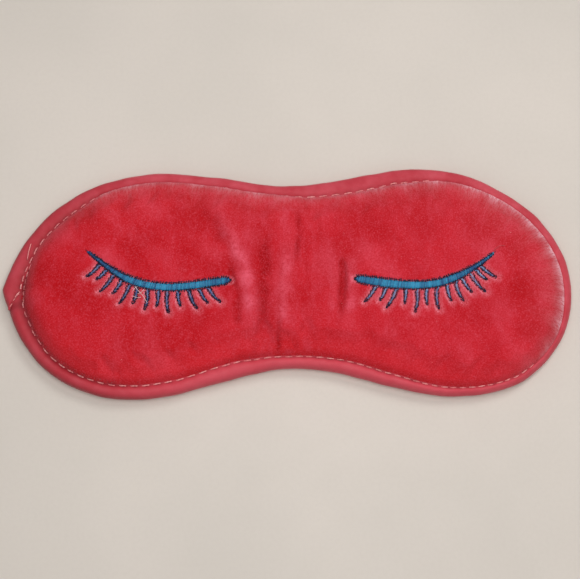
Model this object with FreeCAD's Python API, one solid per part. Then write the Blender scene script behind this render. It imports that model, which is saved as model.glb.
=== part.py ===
"""Sleep eye mask: a padded velvet mask with a folded edge binding, embroidered closed
eyes, and an elastic head strap with a ring and a sliding adjuster behind it.

Millimetres. The mask lies on its back: +X runs along its width towards the wearer's
left, +Y towards the forehead and +Z out of the velvet face. The origin is the centre
of the footprint, on the flat bottom of the binding.
"""

import FreeCAD, Part
import math
import os

# ---- driving dimensions ---------------------------------------------------------

# Outer edge of the mask, counter-clockwise from the right end. The left end is more
# pointed, because the binding starts and finishes there.
OUTLINE = [
    (103.0, -5.0), (99.0, 13.5), (86.0, 29.0), (68.0, 39.0), (49.0, 42.5), (27.0, 39.6),
    (2.0, 36.1), (-22.0, 38.4), (-46.0, 40.7), (-67.0, 37.0), (-84.0, 27.6), (-97.0, 13.0),
    (-103.0, -2.5), (-100.3, -14.5), (-90.0, -28.7), (-75.0, -38.9), (-55.0, -42.5),
    (-28.0, -37.7), (0.0, -31.4), (28.0, -35.4), (61.0, -41.4), (83.0, -36.5), (96.5, -24.7),
]
EDGE_SAMPLES = 36            # steps along an inset copy of half the outline
EDGE_PARTS = 6               # faces along half the outline
TOP_SPAN = (0.15, 0.35)      # stretches of the outline that cross the crease line
BOTTOM_SPAN = (0.65, 0.85)
BISECTIONS = 40

FOLD_X = 2.5                 # the crease line over the nose bridge
FOLD_GAP = 0.3               # clearance between the two halves along that line
FOLD_AXIS_Z = 12.4           # height of the crease axis, just above the embroidery

# Height of each layer's surface at growing inset from the outer edge: (inset, z).
LINING_UNDER = [(1.2, 1.0), (4.4, 1.0), (5.4, 1.9), (8.0, 3.4), (12.0, 4.5), (16.0, 4.8)]
LINING_TOP = [(1.2, 1.6), (4.4, 1.6), (5.2, 2.5), (7.8, 4.05), (11.9, 5.2), (16.0, 5.5)]
FOAM_UNDER = [(1.2, 1.9), (4.4, 1.9), (5.0, 2.8), (7.6, 4.4), (11.8, 5.5), (16.0, 5.8)]
FOAM_TOP = [(1.2, 3.2), (4.4, 3.3), (4.9, 4.6), (7.0, 7.2), (11.0, 9.5), (16.0, 10.4)]
VELVET_TOP = [(1.2, 4.0), (4.4, 4.1), (4.7, 4.9), (6.6, 7.8), (10.8, 10.5), (16.0, 11.5)]
FACE_Z = VELVET_TOP[-1][1]   # the velvet's plateau, where the eyes are sewn

# Section of the folded edge binding, round the loop from its flat bottom: (inset, z).
BINDING_SECTION = [
    (3.7, 0.0), (1.4, 0.0), (0.5, 0.8), (0.0, 2.4), (0.4, 4.0), (1.4, 4.8), (2.6, 4.9),
    (4.4, 4.9), (4.4, 4.1), (1.2, 4.0), (1.2, 1.0), (4.4, 1.0), (4.4, 0.5),
]
BINDING_TOP_Z = 4.9

STITCH_INSET = 3.75          # the row of binding stitches
STITCH_PITCH = 4.4
STITCH_LENGTH = 3.1
STITCH_WIDTH = 0.55
STITCH_HEIGHT = 0.3
ROW_SAMPLES = 72             # points that carry the closed row of stitches

# Centre line of each embroidered lid, from its inner end to its outer tip.
LID_LEFT = [(-20.9, -0.8), (-31.0, -2.5), (-41.0, -3.4), (-49.0, -2.7), (-57.5, 0.0),
            (-64.5, 4.4), (-71.2, 9.6)]
LID_RIGHT = [(25.0, -0.3), (33.0, -1.6), (44.0, -2.6), (54.0, -1.8), (61.5, 1.0),
             (68.0, 4.7), (73.9, 9.2)]
LID_HALF_WIDTH = 1.35        # the light satin band
LID_TIP_HALF_WIDTH = 0.35
LID_TAPER_START = 0.66       # fraction of the length where the band starts to narrow
LID_EDGE_WIDTH = 0.4         # the dark border round the band
LID_HEIGHT = 0.55
LID_EDGE_HEIGHT = 0.4
LID_STEPS = 24

# Each lash: fraction along the lid from the inner end, direction in degrees, length.
LASHES_LEFT = [
    (0.15, -50, 7.2), (0.205, -58, 6.2), (0.27, -65, 7.6), (0.335, -79, 5.7), (0.40, -86, 7.9),
    (0.46, -95, 5.8), (0.53, -97, 7.6), (0.60, -102, 6.2), (0.645, -117, 7.8),
    (0.70, -124, 5.8), (0.765, -128, 7.6), (0.82, -136, 5.0), (0.875, -138, 6.5),
]
LASHES_RIGHT = [
    (0.145, -126, 7.3), (0.21, -117, 5.4), (0.28, -118, 8.1), (0.335, -98, 5.3),
    (0.41, -96, 8.3), (0.475, -88, 5.9), (0.545, -86, 8.0), (0.61, -75, 6.1),
    (0.67, -69, 7.6), (0.715, -56, 6.3), (0.78, -52, 8.6), (0.825, -44, 5.5), (0.865, -37, 6.9),
]
LASH_ROOT_WIDTH = 1.5
LASH_TIP_WIDTH = 0.5
LASH_HEIGHT = 0.45
LASH_BOW = 0.07              # sideways bow of a lash, as a fraction of its length

# Head strap of flat elastic, its ring and its sliding adjuster, behind the lining.
STRAP_WIDTH = 12.0
STRAP_THICK = 0.7
STRAP_Y = -3.0               # centre line of the strap
STRAP_LOW_Z = 0.3            # underside of the returning run
STRAP_HIGH_Z = 2.65          # underside of the main run
SEAM_Z = 1.0                 # underside of a strap end where the binding grips it
SEAM_END_INSET = 3.3         # how far from the outer edge a strap end stops
SEAM_CLEAR = 0.05            # room pressed into the layers round a strap end
SEAM_FLAT = 4.5              # length of a strap end that lies flat at its seam
SEAM_RISE = 8.0              # length over which it climbs to the main run
TACK_INSET = 5.6
TACK_LENGTH = 1.4
TACK_HEIGHT = 0.25

RING_WIRE_R = 0.8
RING_LEFT_X = 82.0           # bar that the main run turns round
RING_RIGHT_X = 90.0          # bar held by the tab
RING_INNER_Y = 6.6           # half the space between the ring's side wires
RING_CORNER_R = 1.6
WRAP_CLEAR = 0.025           # fabric to bar, where a strap turns round one

SLIDER_X = 22.0              # centre bar of the adjuster at rest
SLIDER_TRAVEL = 40.0
SLIDER_HALF_X = 5.0
SLIDER_RAIL = 1.6            # width of an end rail and of a side rail
SLIDER_SIDE_CLEAR = 0.35
BAR_HALF_X = 1.2
BAR_Z = (1.05, 1.8)
RAIL_Z = (3.6, 4.4)
WRAP_UPPER_Z = 1.85          # underside of the wrapped strap end over the bar
WRAP_THICK = 0.55            # the strap end, pulled thin round the bar
WRAP_END_X = 9.0             # where the wrapped end stops, from the bar
RETURN_GAP = 0.1
RETURN_STUB = 3.0            # length of strap below the ring's bar

SEW_TOLERANCE = 0.001
BIG = 400.0                  # a box larger than the mask


# ---- outline and layers ---------------------------------------------------------

def closed_spline(points, weights=None):
    """A closed smooth curve through the points. weights are the parameter's steps."""
    steps = weights or [1.0] * len(points)
    marks = [sum(steps[:index]) / sum(steps) for index in range(len(points) + 1)]
    curve = Part.BSplineCurve()
    curve.interpolate(Points=points, PeriodicFlag=True, Parameters=marks)
    return curve


def outline_curve():
    """The outer edge, parametrised by the spacing of its points."""
    points = [FreeCAD.Vector(x, y, 0) for x, y in OUTLINE]
    spacing = [a.distanceToPoint(b) for a, b in zip(points, points[1:] + points[:1])]
    return closed_spline(points, spacing)


EDGE = outline_curve()


def edge_point(fraction, inset, z):
    """A point of the outline moved inwards by inset, at height z."""
    point = EDGE.value(fraction % 1.0)
    tangent = EDGE.tangent(fraction % 1.0)[0]
    inward = FreeCAD.Vector(-tangent.y, tangent.x, 0)
    return point + inward * inset + FreeCAD.Vector(0, 0, z)


def crossing(inset, plane_x, span):
    """Where the inset outline crosses x = plane_x, as a fraction within span."""
    low, high = span
    for _ in range(BISECTIONS):
        middle = (low + high) / 2
        before = edge_point(low, inset, 0).x - plane_x
        if before * (edge_point(middle, inset, 0).x - plane_x) > 0:
            low = middle
        else:
            high = middle
    return (low + high) / 2


def half_edge(side, inset, z):
    """The inset outline of one half as a row of edges, from crease line to crease line."""
    if side == "left":
        plane_x = FOLD_X - FOLD_GAP / 2
        start = crossing(inset, plane_x, TOP_SPAN)
        end = crossing(inset, plane_x, BOTTOM_SPAN)
    else:
        plane_x = FOLD_X + FOLD_GAP / 2
        start = crossing(inset, plane_x, BOTTOM_SPAN) - 1.0
        end = crossing(inset, plane_x, TOP_SPAN)
    points = []
    for index in range(EDGE_SAMPLES + 1):
        points.append(edge_point(start + (end - start) * index / EDGE_SAMPLES, inset, z))
    points[0].x = plane_x
    points[-1].x = plane_x
    marks = [index / EDGE_SAMPLES for index in range(EDGE_SAMPLES + 1)]
    curve = Part.BSplineCurve()
    curve.interpolate(Points=points, Parameters=marks)
    cuts = [index / EDGE_PARTS for index in range(EDGE_PARTS + 1)]
    return [curve.toShape(low, high) for low, high in zip(cuts, cuts[1:])]


def rows_of(side, profile):
    return [half_edge(side, inset, z) for inset, z in profile]


def start_of(row):
    return row[0].valueAt(row[0].FirstParameter)


def end_of(row):
    return row[-1].valueAt(row[-1].LastParameter)


def straight(start, end):
    return Part.LineSegment(start, end).toShape()


def polygon_face(points):
    return Part.Face(Part.makePolygon(points + points[:1]))


def cap(row):
    """Flat face between a half outline and the crease line."""
    return Part.Face(Part.Wire(row + [straight(end_of(row), start_of(row))]))


def band(first, second):
    """The surfaces between two half outlines: flat at one height, else ruled."""
    if abs(start_of(first).z - start_of(second).z) > SEW_TOLERANCE:
        return [Part.makeRuledSurface(a, b) for a, b in zip(first, second)]
    far = straight(end_of(first), end_of(second))
    near = straight(start_of(second), start_of(first))
    return [Part.Face(Part.Wire(first + [far] + second[::-1] + [near]))]


def bands_between(rows):
    """The surfaces that join each half outline to the next."""
    return [face for a, b in zip(rows, rows[1:]) for face in band(a, b)]


def solid_from(faces):
    """Sew faces into one outward-facing solid."""
    shell = Part.makeShell(faces)
    shell.sewShape(SEW_TOLERANCE)
    solid = Part.makeSolid(Part.Shell(shell.Faces))
    if solid.Volume < 0:
        solid.reverse()
    return solid


def half_layer(side, under, top):
    """Half of a sheet or pad, from its underside profile to its top profile."""
    low = rows_of(side, under)
    high = rows_of(side, top)
    faces = bands_between(low) + bands_between(high) + bands_between([low[0], high[0]])
    faces += [cap(low[-1]), cap(high[-1])]
    crease = [start_of(row) for row in high] + [end_of(row) for row in reversed(high)]
    crease += [end_of(row) for row in low] + [start_of(row) for row in reversed(low)]
    return solid_from(faces + [polygon_face(crease)])


def half_binding(side):
    """Half of the folded tape round the edge, open along its inside."""
    rows = rows_of(side, BINDING_SECTION)
    faces = bands_between(rows + rows[:1])
    faces.append(polygon_face([start_of(row) for row in rows]))
    faces.append(polygon_face([end_of(row) for row in rows]))
    return solid_from(faces)


# ---- strap ----------------------------------------------------------------------

def strip(path, width=STRAP_WIDTH):
    """A flat band: a closed side view in X and Z, given width along Y."""
    low_y = STRAP_Y - width / 2
    points = [FreeCAD.Vector(x, low_y, z) for x, z in path]
    face = Part.Face(Part.makePolygon(points + points[:1]))
    return face.extrude(FreeCAD.Vector(0, width, 0))


def u_turn(bar_x, bar_z, inner_r, outer_r, facing):
    """Half a tube round a bar: the strap where it turns back. facing is +1 or -1 in X."""
    low_y = STRAP_Y - STRAP_WIDTH / 2
    centre = FreeCAD.Vector(bar_x, low_y, bar_z)
    along = FreeCAD.Vector(0, 1, 0)
    outer = Part.makeCylinder(outer_r, STRAP_WIDTH, centre, along)
    inner = Part.makeCylinder(inner_r, STRAP_WIDTH, centre, along)
    start_x = bar_x if facing > 0 else bar_x - BIG
    keep = Part.makeBox(BIG, BIG, BIG, FreeCAD.Vector(start_x, -BIG / 2, -BIG / 2))
    return outer.cut(inner).common(keep)


LEFT_END_X = min(x for x, y in OUTLINE)
RIGHT_END_X = max(x for x, y in OUTLINE)
BAR_CENTRE_Z = (STRAP_LOW_Z + STRAP_THICK + STRAP_HIGH_Z) / 2
TURN_INNER_R = (STRAP_HIGH_Z - STRAP_LOW_Z - STRAP_THICK) / 2
TURN_OUTER_R = TURN_INNER_R + STRAP_THICK


def main_strap_left():
    """Main run from the left seam to the crease line."""
    seam = LEFT_END_X + SEAM_END_INSET
    flat = seam + SEAM_FLAT
    high = flat + SEAM_RISE
    end = FOLD_X - FOLD_GAP / 2
    under = [(seam, SEAM_Z), (flat, SEAM_Z), (high, STRAP_HIGH_Z), (end, STRAP_HIGH_Z)]
    over = [(x, z + STRAP_THICK) for x, z in reversed(under)]
    return strip(under + over)


def main_strap_right():
    """Main run from the crease line to the ring, round its bar and a little way back."""
    start = FOLD_X + FOLD_GAP / 2
    upper = strip([(start, STRAP_HIGH_Z), (RING_LEFT_X, STRAP_HIGH_Z),
                   (RING_LEFT_X, STRAP_HIGH_Z + STRAP_THICK),
                   (start, STRAP_HIGH_Z + STRAP_THICK)])
    stub_x = RING_LEFT_X - RETURN_STUB
    lower = strip([(stub_x, STRAP_LOW_Z), (RING_LEFT_X, STRAP_LOW_Z),
                   (RING_LEFT_X, STRAP_LOW_Z + STRAP_THICK),
                   (stub_x, STRAP_LOW_Z + STRAP_THICK)])
    turn = u_turn(RING_LEFT_X, BAR_CENTRE_Z, TURN_INNER_R, TURN_OUTER_R, 1)
    return upper.fuse([turn, lower]).removeSplitter()


def return_run():
    """The run that comes back from the ring to the slider; it shortens as that slides."""
    start = SLIDER_X + WRAP_END_X + RETURN_GAP
    end = RING_LEFT_X - RETURN_STUB
    return strip([(start, STRAP_LOW_Z), (end, STRAP_LOW_Z),
                  (end, STRAP_LOW_Z + STRAP_THICK), (start, STRAP_LOW_Z + STRAP_THICK)])


def ring_tab():
    """Short doubled strap that holds the ring to the right seam."""
    seam = RIGHT_END_X - SEAM_END_INSET
    flat = seam - SEAM_FLAT
    low_under = [(RING_RIGHT_X, STRAP_LOW_Z), (flat, SEAM_Z), (seam, SEAM_Z)]
    low_over = [(x, z + STRAP_THICK) for x, z in reversed(low_under)]
    lower = strip(low_under + low_over)
    doubled_z = SEAM_Z + STRAP_THICK
    high_under = [(RING_RIGHT_X, STRAP_HIGH_Z), (flat, doubled_z), (seam, doubled_z)]
    high_over = [(x, z + STRAP_THICK) for x, z in reversed(high_under)]
    upper = strip(high_under + high_over)
    turn = u_turn(RING_RIGHT_X, BAR_CENTRE_Z, TURN_INNER_R, TURN_OUTER_R, -1)
    return upper.fuse([turn, lower]).removeSplitter()


def seam_pocket(seam_x, flat_x, high_x, seam_top_z):
    """The room that a strap end takes up in the layers at its seam."""
    top = seam_top_z + SEAM_CLEAR
    high_top = STRAP_HIGH_Z + STRAP_THICK + SEAM_CLEAR
    below = SEAM_Z / 2
    outer = seam_x + math.copysign(SEAM_CLEAR, seam_x)
    return strip([(outer, below), (high_x, below), (high_x, high_top), (flat_x, top),
                  (outer, top)], width=STRAP_WIDTH + 2 * SEAM_CLEAR)


def strap_pocket_left():
    seam = LEFT_END_X + SEAM_END_INSET
    flat = seam + SEAM_FLAT
    return seam_pocket(seam, flat, flat + SEAM_RISE, SEAM_Z + STRAP_THICK)


def strap_pocket_right():
    seam = RIGHT_END_X - SEAM_END_INSET
    return seam_pocket(seam, seam - SEAM_FLAT, RING_RIGHT_X, SEAM_Z + 2 * STRAP_THICK)


def seam_tack(end_x, inward):
    """The close bar of stitches across a strap end, on its underside."""
    low_x = end_x + inward * TACK_INSET
    if inward < 0:
        low_x -= TACK_LENGTH
    corner = FreeCAD.Vector(low_x, STRAP_Y - STRAP_WIDTH / 2, SEAM_Z - TACK_HEIGHT)
    return Part.makeBox(TACK_LENGTH, STRAP_WIDTH, TACK_HEIGHT, corner)


# ---- ring and adjuster ----------------------------------------------------------

def strap_ring():
    """Rounded rectangle of round wire, lying flat."""
    low_y = STRAP_Y - RING_INNER_Y - RING_WIRE_R
    high_y = STRAP_Y + RING_INNER_Y + RING_WIRE_R
    left = RING_LEFT_X
    right = RING_RIGHT_X
    r = RING_CORNER_R
    z = BAR_CENTRE_Z

    def at(x, y):
        return FreeCAD.Vector(x, y, z)

    def corner(x, y, start_degrees):
        middle = math.radians(start_degrees + 45)
        end = math.radians(start_degrees + 90)
        begin = math.radians(start_degrees)
        spots = [at(x + r * math.cos(a), y + r * math.sin(a)) for a in (begin, middle, end)]
        return Part.Arc(*spots).toShape()

    edges = [
        Part.LineSegment(at(left + r, low_y), at(right - r, low_y)).toShape(),
        corner(right - r, low_y + r, -90),
        Part.LineSegment(at(right, low_y + r), at(right, high_y - r)).toShape(),
        corner(right - r, high_y - r, 0),
        Part.LineSegment(at(right - r, high_y), at(left + r, high_y)).toShape(),
        corner(left + r, high_y - r, 90),
        Part.LineSegment(at(left, high_y - r), at(left, low_y + r)).toShape(),
        corner(left + r, low_y + r, 180),
    ]
    section = Part.makeCircle(RING_WIRE_R, at(left + r, low_y), FreeCAD.Vector(1, 0, 0))
    pipe = Part.Wire(edges).makePipeShell([Part.Wire([section])], True, False)
    return pipe.Solids[0]


def box_between(low, high):
    size = [b - a for a, b in zip(low, high)]
    return Part.makeBox(*size, FreeCAD.Vector(*low))


def slider_frame():
    """Tri-glide: two end rails over the strap, a centre bar under it, two side rails."""
    inner_y = STRAP_WIDTH / 2 + SLIDER_SIDE_CLEAR
    outer_y = inner_y + SLIDER_RAIL
    sides = []
    for low_y, high_y in ((-outer_y, -inner_y), (inner_y, outer_y)):
        low = (SLIDER_X - SLIDER_HALF_X, STRAP_Y + low_y, BAR_Z[0])
        high = (SLIDER_X + SLIDER_HALF_X, STRAP_Y + high_y, RAIL_Z[1])
        sides.append(box_between(low, high))
    bar = box_between((SLIDER_X - BAR_HALF_X, STRAP_Y - outer_y, BAR_Z[0]),
                      (SLIDER_X + BAR_HALF_X, STRAP_Y + outer_y, BAR_Z[1]))
    rails = []
    for low_x in (SLIDER_X - SLIDER_HALF_X, SLIDER_X + SLIDER_HALF_X - SLIDER_RAIL):
        rails.append(box_between((low_x, STRAP_Y - outer_y, RAIL_Z[0]),
                                 (low_x + SLIDER_RAIL, STRAP_Y + outer_y, RAIL_Z[1])))
    return bar.fuse(sides + rails).removeSplitter()


def strap_end_wrap():
    """Sewn end of the strap: under the bar, round it and back onto itself."""
    end = SLIDER_X + WRAP_END_X
    left = SLIDER_X - BAR_HALF_X - WRAP_CLEAR
    outer_left = left - WRAP_THICK
    low_top = STRAP_LOW_Z + STRAP_THICK
    bar_right = SLIDER_X + BAR_HALF_X
    drop = bar_right + BAR_Z[1] - BAR_Z[0]
    upper_top = WRAP_UPPER_Z + WRAP_THICK
    lower = strip([(end, STRAP_LOW_Z), (outer_left, STRAP_LOW_Z), (outer_left, low_top),
                   (end, low_top)])
    side = strip([(outer_left, low_top), (left, low_top), (left, upper_top),
                  (outer_left, upper_top)])
    over = strip([(left, WRAP_UPPER_Z), (bar_right, WRAP_UPPER_Z), (drop, low_top),
                  (end, low_top), (end, low_top + WRAP_THICK),
                  (drop + WRAP_THICK, low_top + WRAP_THICK), (bar_right, upper_top),
                  (left, upper_top)])
    return lower.fuse([side, over]).removeSplitter()


def wrap_tack():
    """Stitches that close the wrapped end, on its underside."""
    low_x = SLIDER_X + WRAP_END_X - 3 * TACK_LENGTH
    corner = FreeCAD.Vector(low_x, STRAP_Y - STRAP_WIDTH / 2, STRAP_LOW_Z - TACK_HEIGHT)
    return Part.makeBox(TACK_LENGTH, STRAP_WIDTH, TACK_HEIGHT, corner)


# ---- embroidery -----------------------------------------------------------------

def lid_curve(points):
    curve = Part.BSplineCurve()
    curve.interpolate(Points=[FreeCAD.Vector(x, y, 0) for x, y in points])
    return curve


def at_fraction(curve, fraction):
    """Point and unit tangent at a fraction of the curve's length."""
    length = curve.length()
    parameter = curve.parameterAtDistance(length * fraction, curve.FirstParameter)
    return curve.value(parameter), curve.tangent(parameter)[0]


def lid_half_width(fraction, extra):
    """The band is even along most of its length and narrows to the outer tip."""
    if fraction <= LID_TAPER_START:
        return LID_HALF_WIDTH + extra
    share = (fraction - LID_TAPER_START) / (1.0 - LID_TAPER_START)
    return LID_HALF_WIDTH + (LID_TIP_HALF_WIDTH - LID_HALF_WIDTH) * share + extra


def lid_face(points, extra):
    """Flat outline of a lid: two sides and a half-round inner end."""
    curve = lid_curve(points)
    near = []
    far = []
    for step in range(LID_STEPS + 1):
        fraction = step / LID_STEPS
        point, tangent = at_fraction(curve, fraction)
        across = FreeCAD.Vector(-tangent.y, tangent.x, 0) * lid_half_width(fraction, extra)
        near.append(point + across)
        far.append(point - across)
    inner, tangent = at_fraction(curve, 0.0)
    cap_point = inner - tangent * lid_half_width(0.0, extra)
    sides = []
    for row in (near, far):
        side = Part.BSplineCurve()
        side.interpolate(Points=row)
        sides.append(side.toShape())
    end_arc = Part.Arc(near[0], cap_point, far[0]).toShape()
    tip = Part.LineSegment(near[-1], far[-1]).toShape()
    return Part.Face(Part.Wire(Part.sortEdges([end_arc, sides[0], tip, sides[1]])[0]))


def lid_band(points):
    face = lid_face(points, 0.0)
    face.translate(FreeCAD.Vector(0, 0, FACE_Z))
    return face.extrude(FreeCAD.Vector(0, 0, LID_HEIGHT))


def lid_outline(points):
    face = lid_face(points, LID_EDGE_WIDTH)
    face.translate(FreeCAD.Vector(0, 0, FACE_Z))
    border = face.extrude(FreeCAD.Vector(0, 0, LID_EDGE_HEIGHT))
    return border.cut(lid_band(points))


def lash(points, fraction, degrees, length):
    """One tapered, slightly bowed stroke of stitches below the lid."""
    curve = lid_curve(points)
    root, tangent = at_fraction(curve, fraction)
    reach = lid_half_width(fraction, LID_EDGE_WIDTH)
    heading = math.radians(degrees)
    along = FreeCAD.Vector(math.cos(heading), math.sin(heading), 0)
    across = FreeCAD.Vector(-along.y, along.x, 0)
    lean = 1.0 if along.x >= 0 else -1.0
    bow = across * (LASH_BOW * length * lean * -1.0)
    start = root + along * (reach * 0.9)
    end = start + along * length
    middle = (start + end) * 0.5 + bow
    wide = across * (LASH_ROOT_WIDTH / 2)
    mid_wide = across * ((LASH_ROOT_WIDTH + LASH_TIP_WIDTH) / 4)
    thin = across * (LASH_TIP_WIDTH / 2)
    sides = [
        Part.Arc(start + wide, middle + mid_wide, end + thin).toShape(),
        Part.LineSegment(end + thin, end - thin).toShape(),
        Part.Arc(end - thin, middle - mid_wide, start - wide).toShape(),
        Part.LineSegment(start - wide, start + wide).toShape(),
    ]
    face = Part.Face(Part.Wire(sides))
    face.translate(FreeCAD.Vector(0, 0, FACE_Z))
    return face.extrude(FreeCAD.Vector(0, 0, LASH_HEIGHT))


def lashes(points, table):
    """All lashes of one eye, cut clear of the lid and of each other."""
    border = lid_face(points, LID_EDGE_WIDTH)
    border.translate(FreeCAD.Vector(0, 0, FACE_Z))
    lid_block = border.extrude(FreeCAD.Vector(0, 0, LID_HEIGHT))
    strokes = []
    for fraction, degrees, length in table:
        stroke = lash(points, fraction, degrees, length).cut(lid_block)
        strokes.append(max(stroke.Solids, key=lambda solid: solid.Volume))
    return Part.makeCompound(strokes)


# ---- binding stitches -----------------------------------------------------------

def binding_stitches(side):
    """Stitches along the binding's inner edge, on one side of the crease line."""
    row = closed_spline([edge_point(i / ROW_SAMPLES, STITCH_INSET, BINDING_TOP_Z)
                         for i in range(ROW_SAMPLES)])
    length = row.length()
    count = int(length / STITCH_PITCH)
    stitches = []
    for index in range(count):
        parameter = row.parameterAtDistance(length * index / count, row.FirstParameter)
        centre = row.value(parameter)
        near_fold = abs(centre.x - FOLD_X) < STITCH_LENGTH / 2 + FOLD_GAP
        if near_fold or (centre.x < FOLD_X) != (side == "left"):
            continue
        tangent = row.tangent(parameter)[0]
        stitch = Part.makeBox(STITCH_LENGTH, STITCH_WIDTH, STITCH_HEIGHT,
                              FreeCAD.Vector(-STITCH_LENGTH / 2, -STITCH_WIDTH / 2, 0))
        turn = math.degrees(math.atan2(tangent.y, tangent.x))
        stitch.rotate(FreeCAD.Vector(0, 0, 0), FreeCAD.Vector(0, 0, 1), turn)
        stitch.translate(centre)
        stitches.append(stitch)
    return Part.makeCompound(stitches)


# ---- assembly -------------------------------------------------------------------

def check_travels():
    """The crease axis clears the embroidery, and the adjuster stops short of the ring."""
    assert FACE_Z + LID_HEIGHT < FOLD_AXIS_Z
    assert SLIDER_X + SLIDER_TRAVEL + WRAP_END_X < RING_LEFT_X - RETURN_STUB


def build():
    """Every piece by name."""
    pockets = {"left": strap_pocket_left(), "right": strap_pocket_right()}
    layers = {
        "satin_lining": (LINING_UNDER, LINING_TOP),
        "blackout_interlining": (LINING_TOP, FOAM_UNDER),
        "foam_pad": (FOAM_UNDER, FOAM_TOP),
        "velvet_cover": (FOAM_TOP, VELVET_TOP),
    }
    pieces = {}
    for name, (under, top) in layers.items():
        for side in ("left", "right"):
            pieces[name + "_" + side] = half_layer(side, under, top).cut(pockets[side])
    for side in ("left", "right"):
        pieces["edge_binding_" + side] = half_binding(side)
        pieces["binding_stitching_" + side] = binding_stitches(side)
    eyes = {"left": (LID_LEFT, LASHES_LEFT), "right": (LID_RIGHT, LASHES_RIGHT)}
    for side, (lid, table) in eyes.items():
        pieces["lid_band_" + side] = lid_band(lid)
        pieces["lid_outline_" + side] = lid_outline(lid)
        pieces["lashes_" + side] = lashes(lid, table)
    pieces["head_strap_left"] = main_strap_left()
    pieces["head_strap_right"] = main_strap_right()
    pieces["strap_return_run"] = return_run()
    pieces["ring_tab"] = ring_tab()
    pieces["strap_tack_left"] = seam_tack(LEFT_END_X, 1)
    pieces["tab_tack_right"] = seam_tack(RIGHT_END_X, -1)
    pieces["strap_ring"] = strap_ring()
    pieces["slider_frame"] = slider_frame()
    pieces["strap_end_wrap"] = strap_end_wrap()
    pieces["wrap_tack"] = wrap_tack()
    return pieces


check_travels()
os.makedirs("parts", exist_ok=True)
for piece_name, piece_shape in build().items():
    piece_shape.exportStep(os.path.join("parts", piece_name + ".step"))
    box = piece_shape.BoundBox
    print("%-28s solids %3d valid %s volume %9.2f  x %.2f..%.2f y %.2f..%.2f z %.2f..%.2f" % (
        piece_name, len(piece_shape.Solids), piece_shape.isValid(), piece_shape.Volume,
        box.XMin, box.XMax, box.YMin, box.YMax, box.ZMin, box.ZMax))
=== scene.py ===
"""Sleep eye mask: the looks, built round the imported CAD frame.

Shapes are worked out in millimetres in the CAD's own frame (+X towards the wearer's left,
+Y towards the forehead, +Z out of the velvet) and turned into metres when a mesh is made.
"""

import math

import bpy
import numpy as np
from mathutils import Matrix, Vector
from mathutils.bvhtree import BVHTree
from mathutils.geometry import delaunay_2d_cdt
from mathutils.kdtree import KDTree


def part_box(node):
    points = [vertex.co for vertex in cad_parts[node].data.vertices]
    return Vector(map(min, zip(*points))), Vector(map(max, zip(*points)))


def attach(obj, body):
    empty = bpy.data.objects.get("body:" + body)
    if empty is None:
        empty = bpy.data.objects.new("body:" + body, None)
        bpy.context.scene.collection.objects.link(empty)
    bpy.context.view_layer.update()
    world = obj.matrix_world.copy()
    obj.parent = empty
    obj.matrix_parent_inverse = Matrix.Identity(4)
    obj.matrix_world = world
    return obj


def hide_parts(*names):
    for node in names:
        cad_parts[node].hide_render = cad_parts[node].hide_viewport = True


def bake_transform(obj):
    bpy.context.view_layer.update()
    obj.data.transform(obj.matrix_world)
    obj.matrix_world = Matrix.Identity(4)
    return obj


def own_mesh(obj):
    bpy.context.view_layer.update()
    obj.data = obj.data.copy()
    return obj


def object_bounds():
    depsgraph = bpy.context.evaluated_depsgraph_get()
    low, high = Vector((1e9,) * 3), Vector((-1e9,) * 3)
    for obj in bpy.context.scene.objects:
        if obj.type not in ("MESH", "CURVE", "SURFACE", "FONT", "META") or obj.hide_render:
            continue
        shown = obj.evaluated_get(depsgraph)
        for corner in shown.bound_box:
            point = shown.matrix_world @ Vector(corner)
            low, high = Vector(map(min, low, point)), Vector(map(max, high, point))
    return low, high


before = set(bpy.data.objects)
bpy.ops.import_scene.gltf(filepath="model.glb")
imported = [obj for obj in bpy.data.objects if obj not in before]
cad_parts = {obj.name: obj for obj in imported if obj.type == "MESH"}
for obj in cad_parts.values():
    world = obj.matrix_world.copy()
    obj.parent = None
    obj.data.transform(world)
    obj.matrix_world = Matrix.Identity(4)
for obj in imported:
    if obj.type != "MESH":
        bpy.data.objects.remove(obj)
cad_low, cad_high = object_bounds()

MM = 0.001


# ---- small tools

def box_mm(node):
    low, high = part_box(node)
    return np.array(low) / MM, np.array(high) / MM


def node_points(node):
    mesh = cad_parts[node].data
    points = np.zeros(len(mesh.vertices) * 3)
    mesh.vertices.foreach_get("co", points)
    return points.reshape(-1, 3) / MM


def smoothstep(low, high, value):
    t = np.clip((np.asarray(value, float) - low) / (high - low), 0.0, 1.0)
    return t * t * (3.0 - 2.0 * t)


def falling(low, high, value):
    """1 up to low, easing down to 0 at high."""
    return 1 - smoothstep(low, high, value)


def unit(vectors):
    return vectors / np.linalg.norm(vectors, axis=1)[:, None]


def run_lengths(line):
    """Distance along a line to each of its points."""
    return np.append(0, np.cumsum(np.linalg.norm(np.diff(line, axis=0), axis=1)))


def spots(xy, centre, width):
    """A soft spot round a centre, 1 in the middle."""
    return np.exp(-(np.linalg.norm(xy - centre, axis=1) / width) ** 2)


def bump_at(value, centre, width):
    return np.exp(-((np.asarray(value, float) - centre) / width) ** 2)


def clouds(xy, wavelength, seed, waves=28):
    """Smooth random field, about -1 to 1, from plane waves of many directions."""
    random = np.random.default_rng(seed)
    angle = random.uniform(0, math.tau, waves)
    length = wavelength * random.uniform(0.7, 1.5, waves)
    phase = random.uniform(0, math.tau, waves)
    along = xy[:, :1] * np.cos(angle) + xy[:, 1:2] * np.sin(angle)
    return np.sin(math.tau * along / length + phase).sum(1) / math.sqrt(2 * waves)


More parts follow.
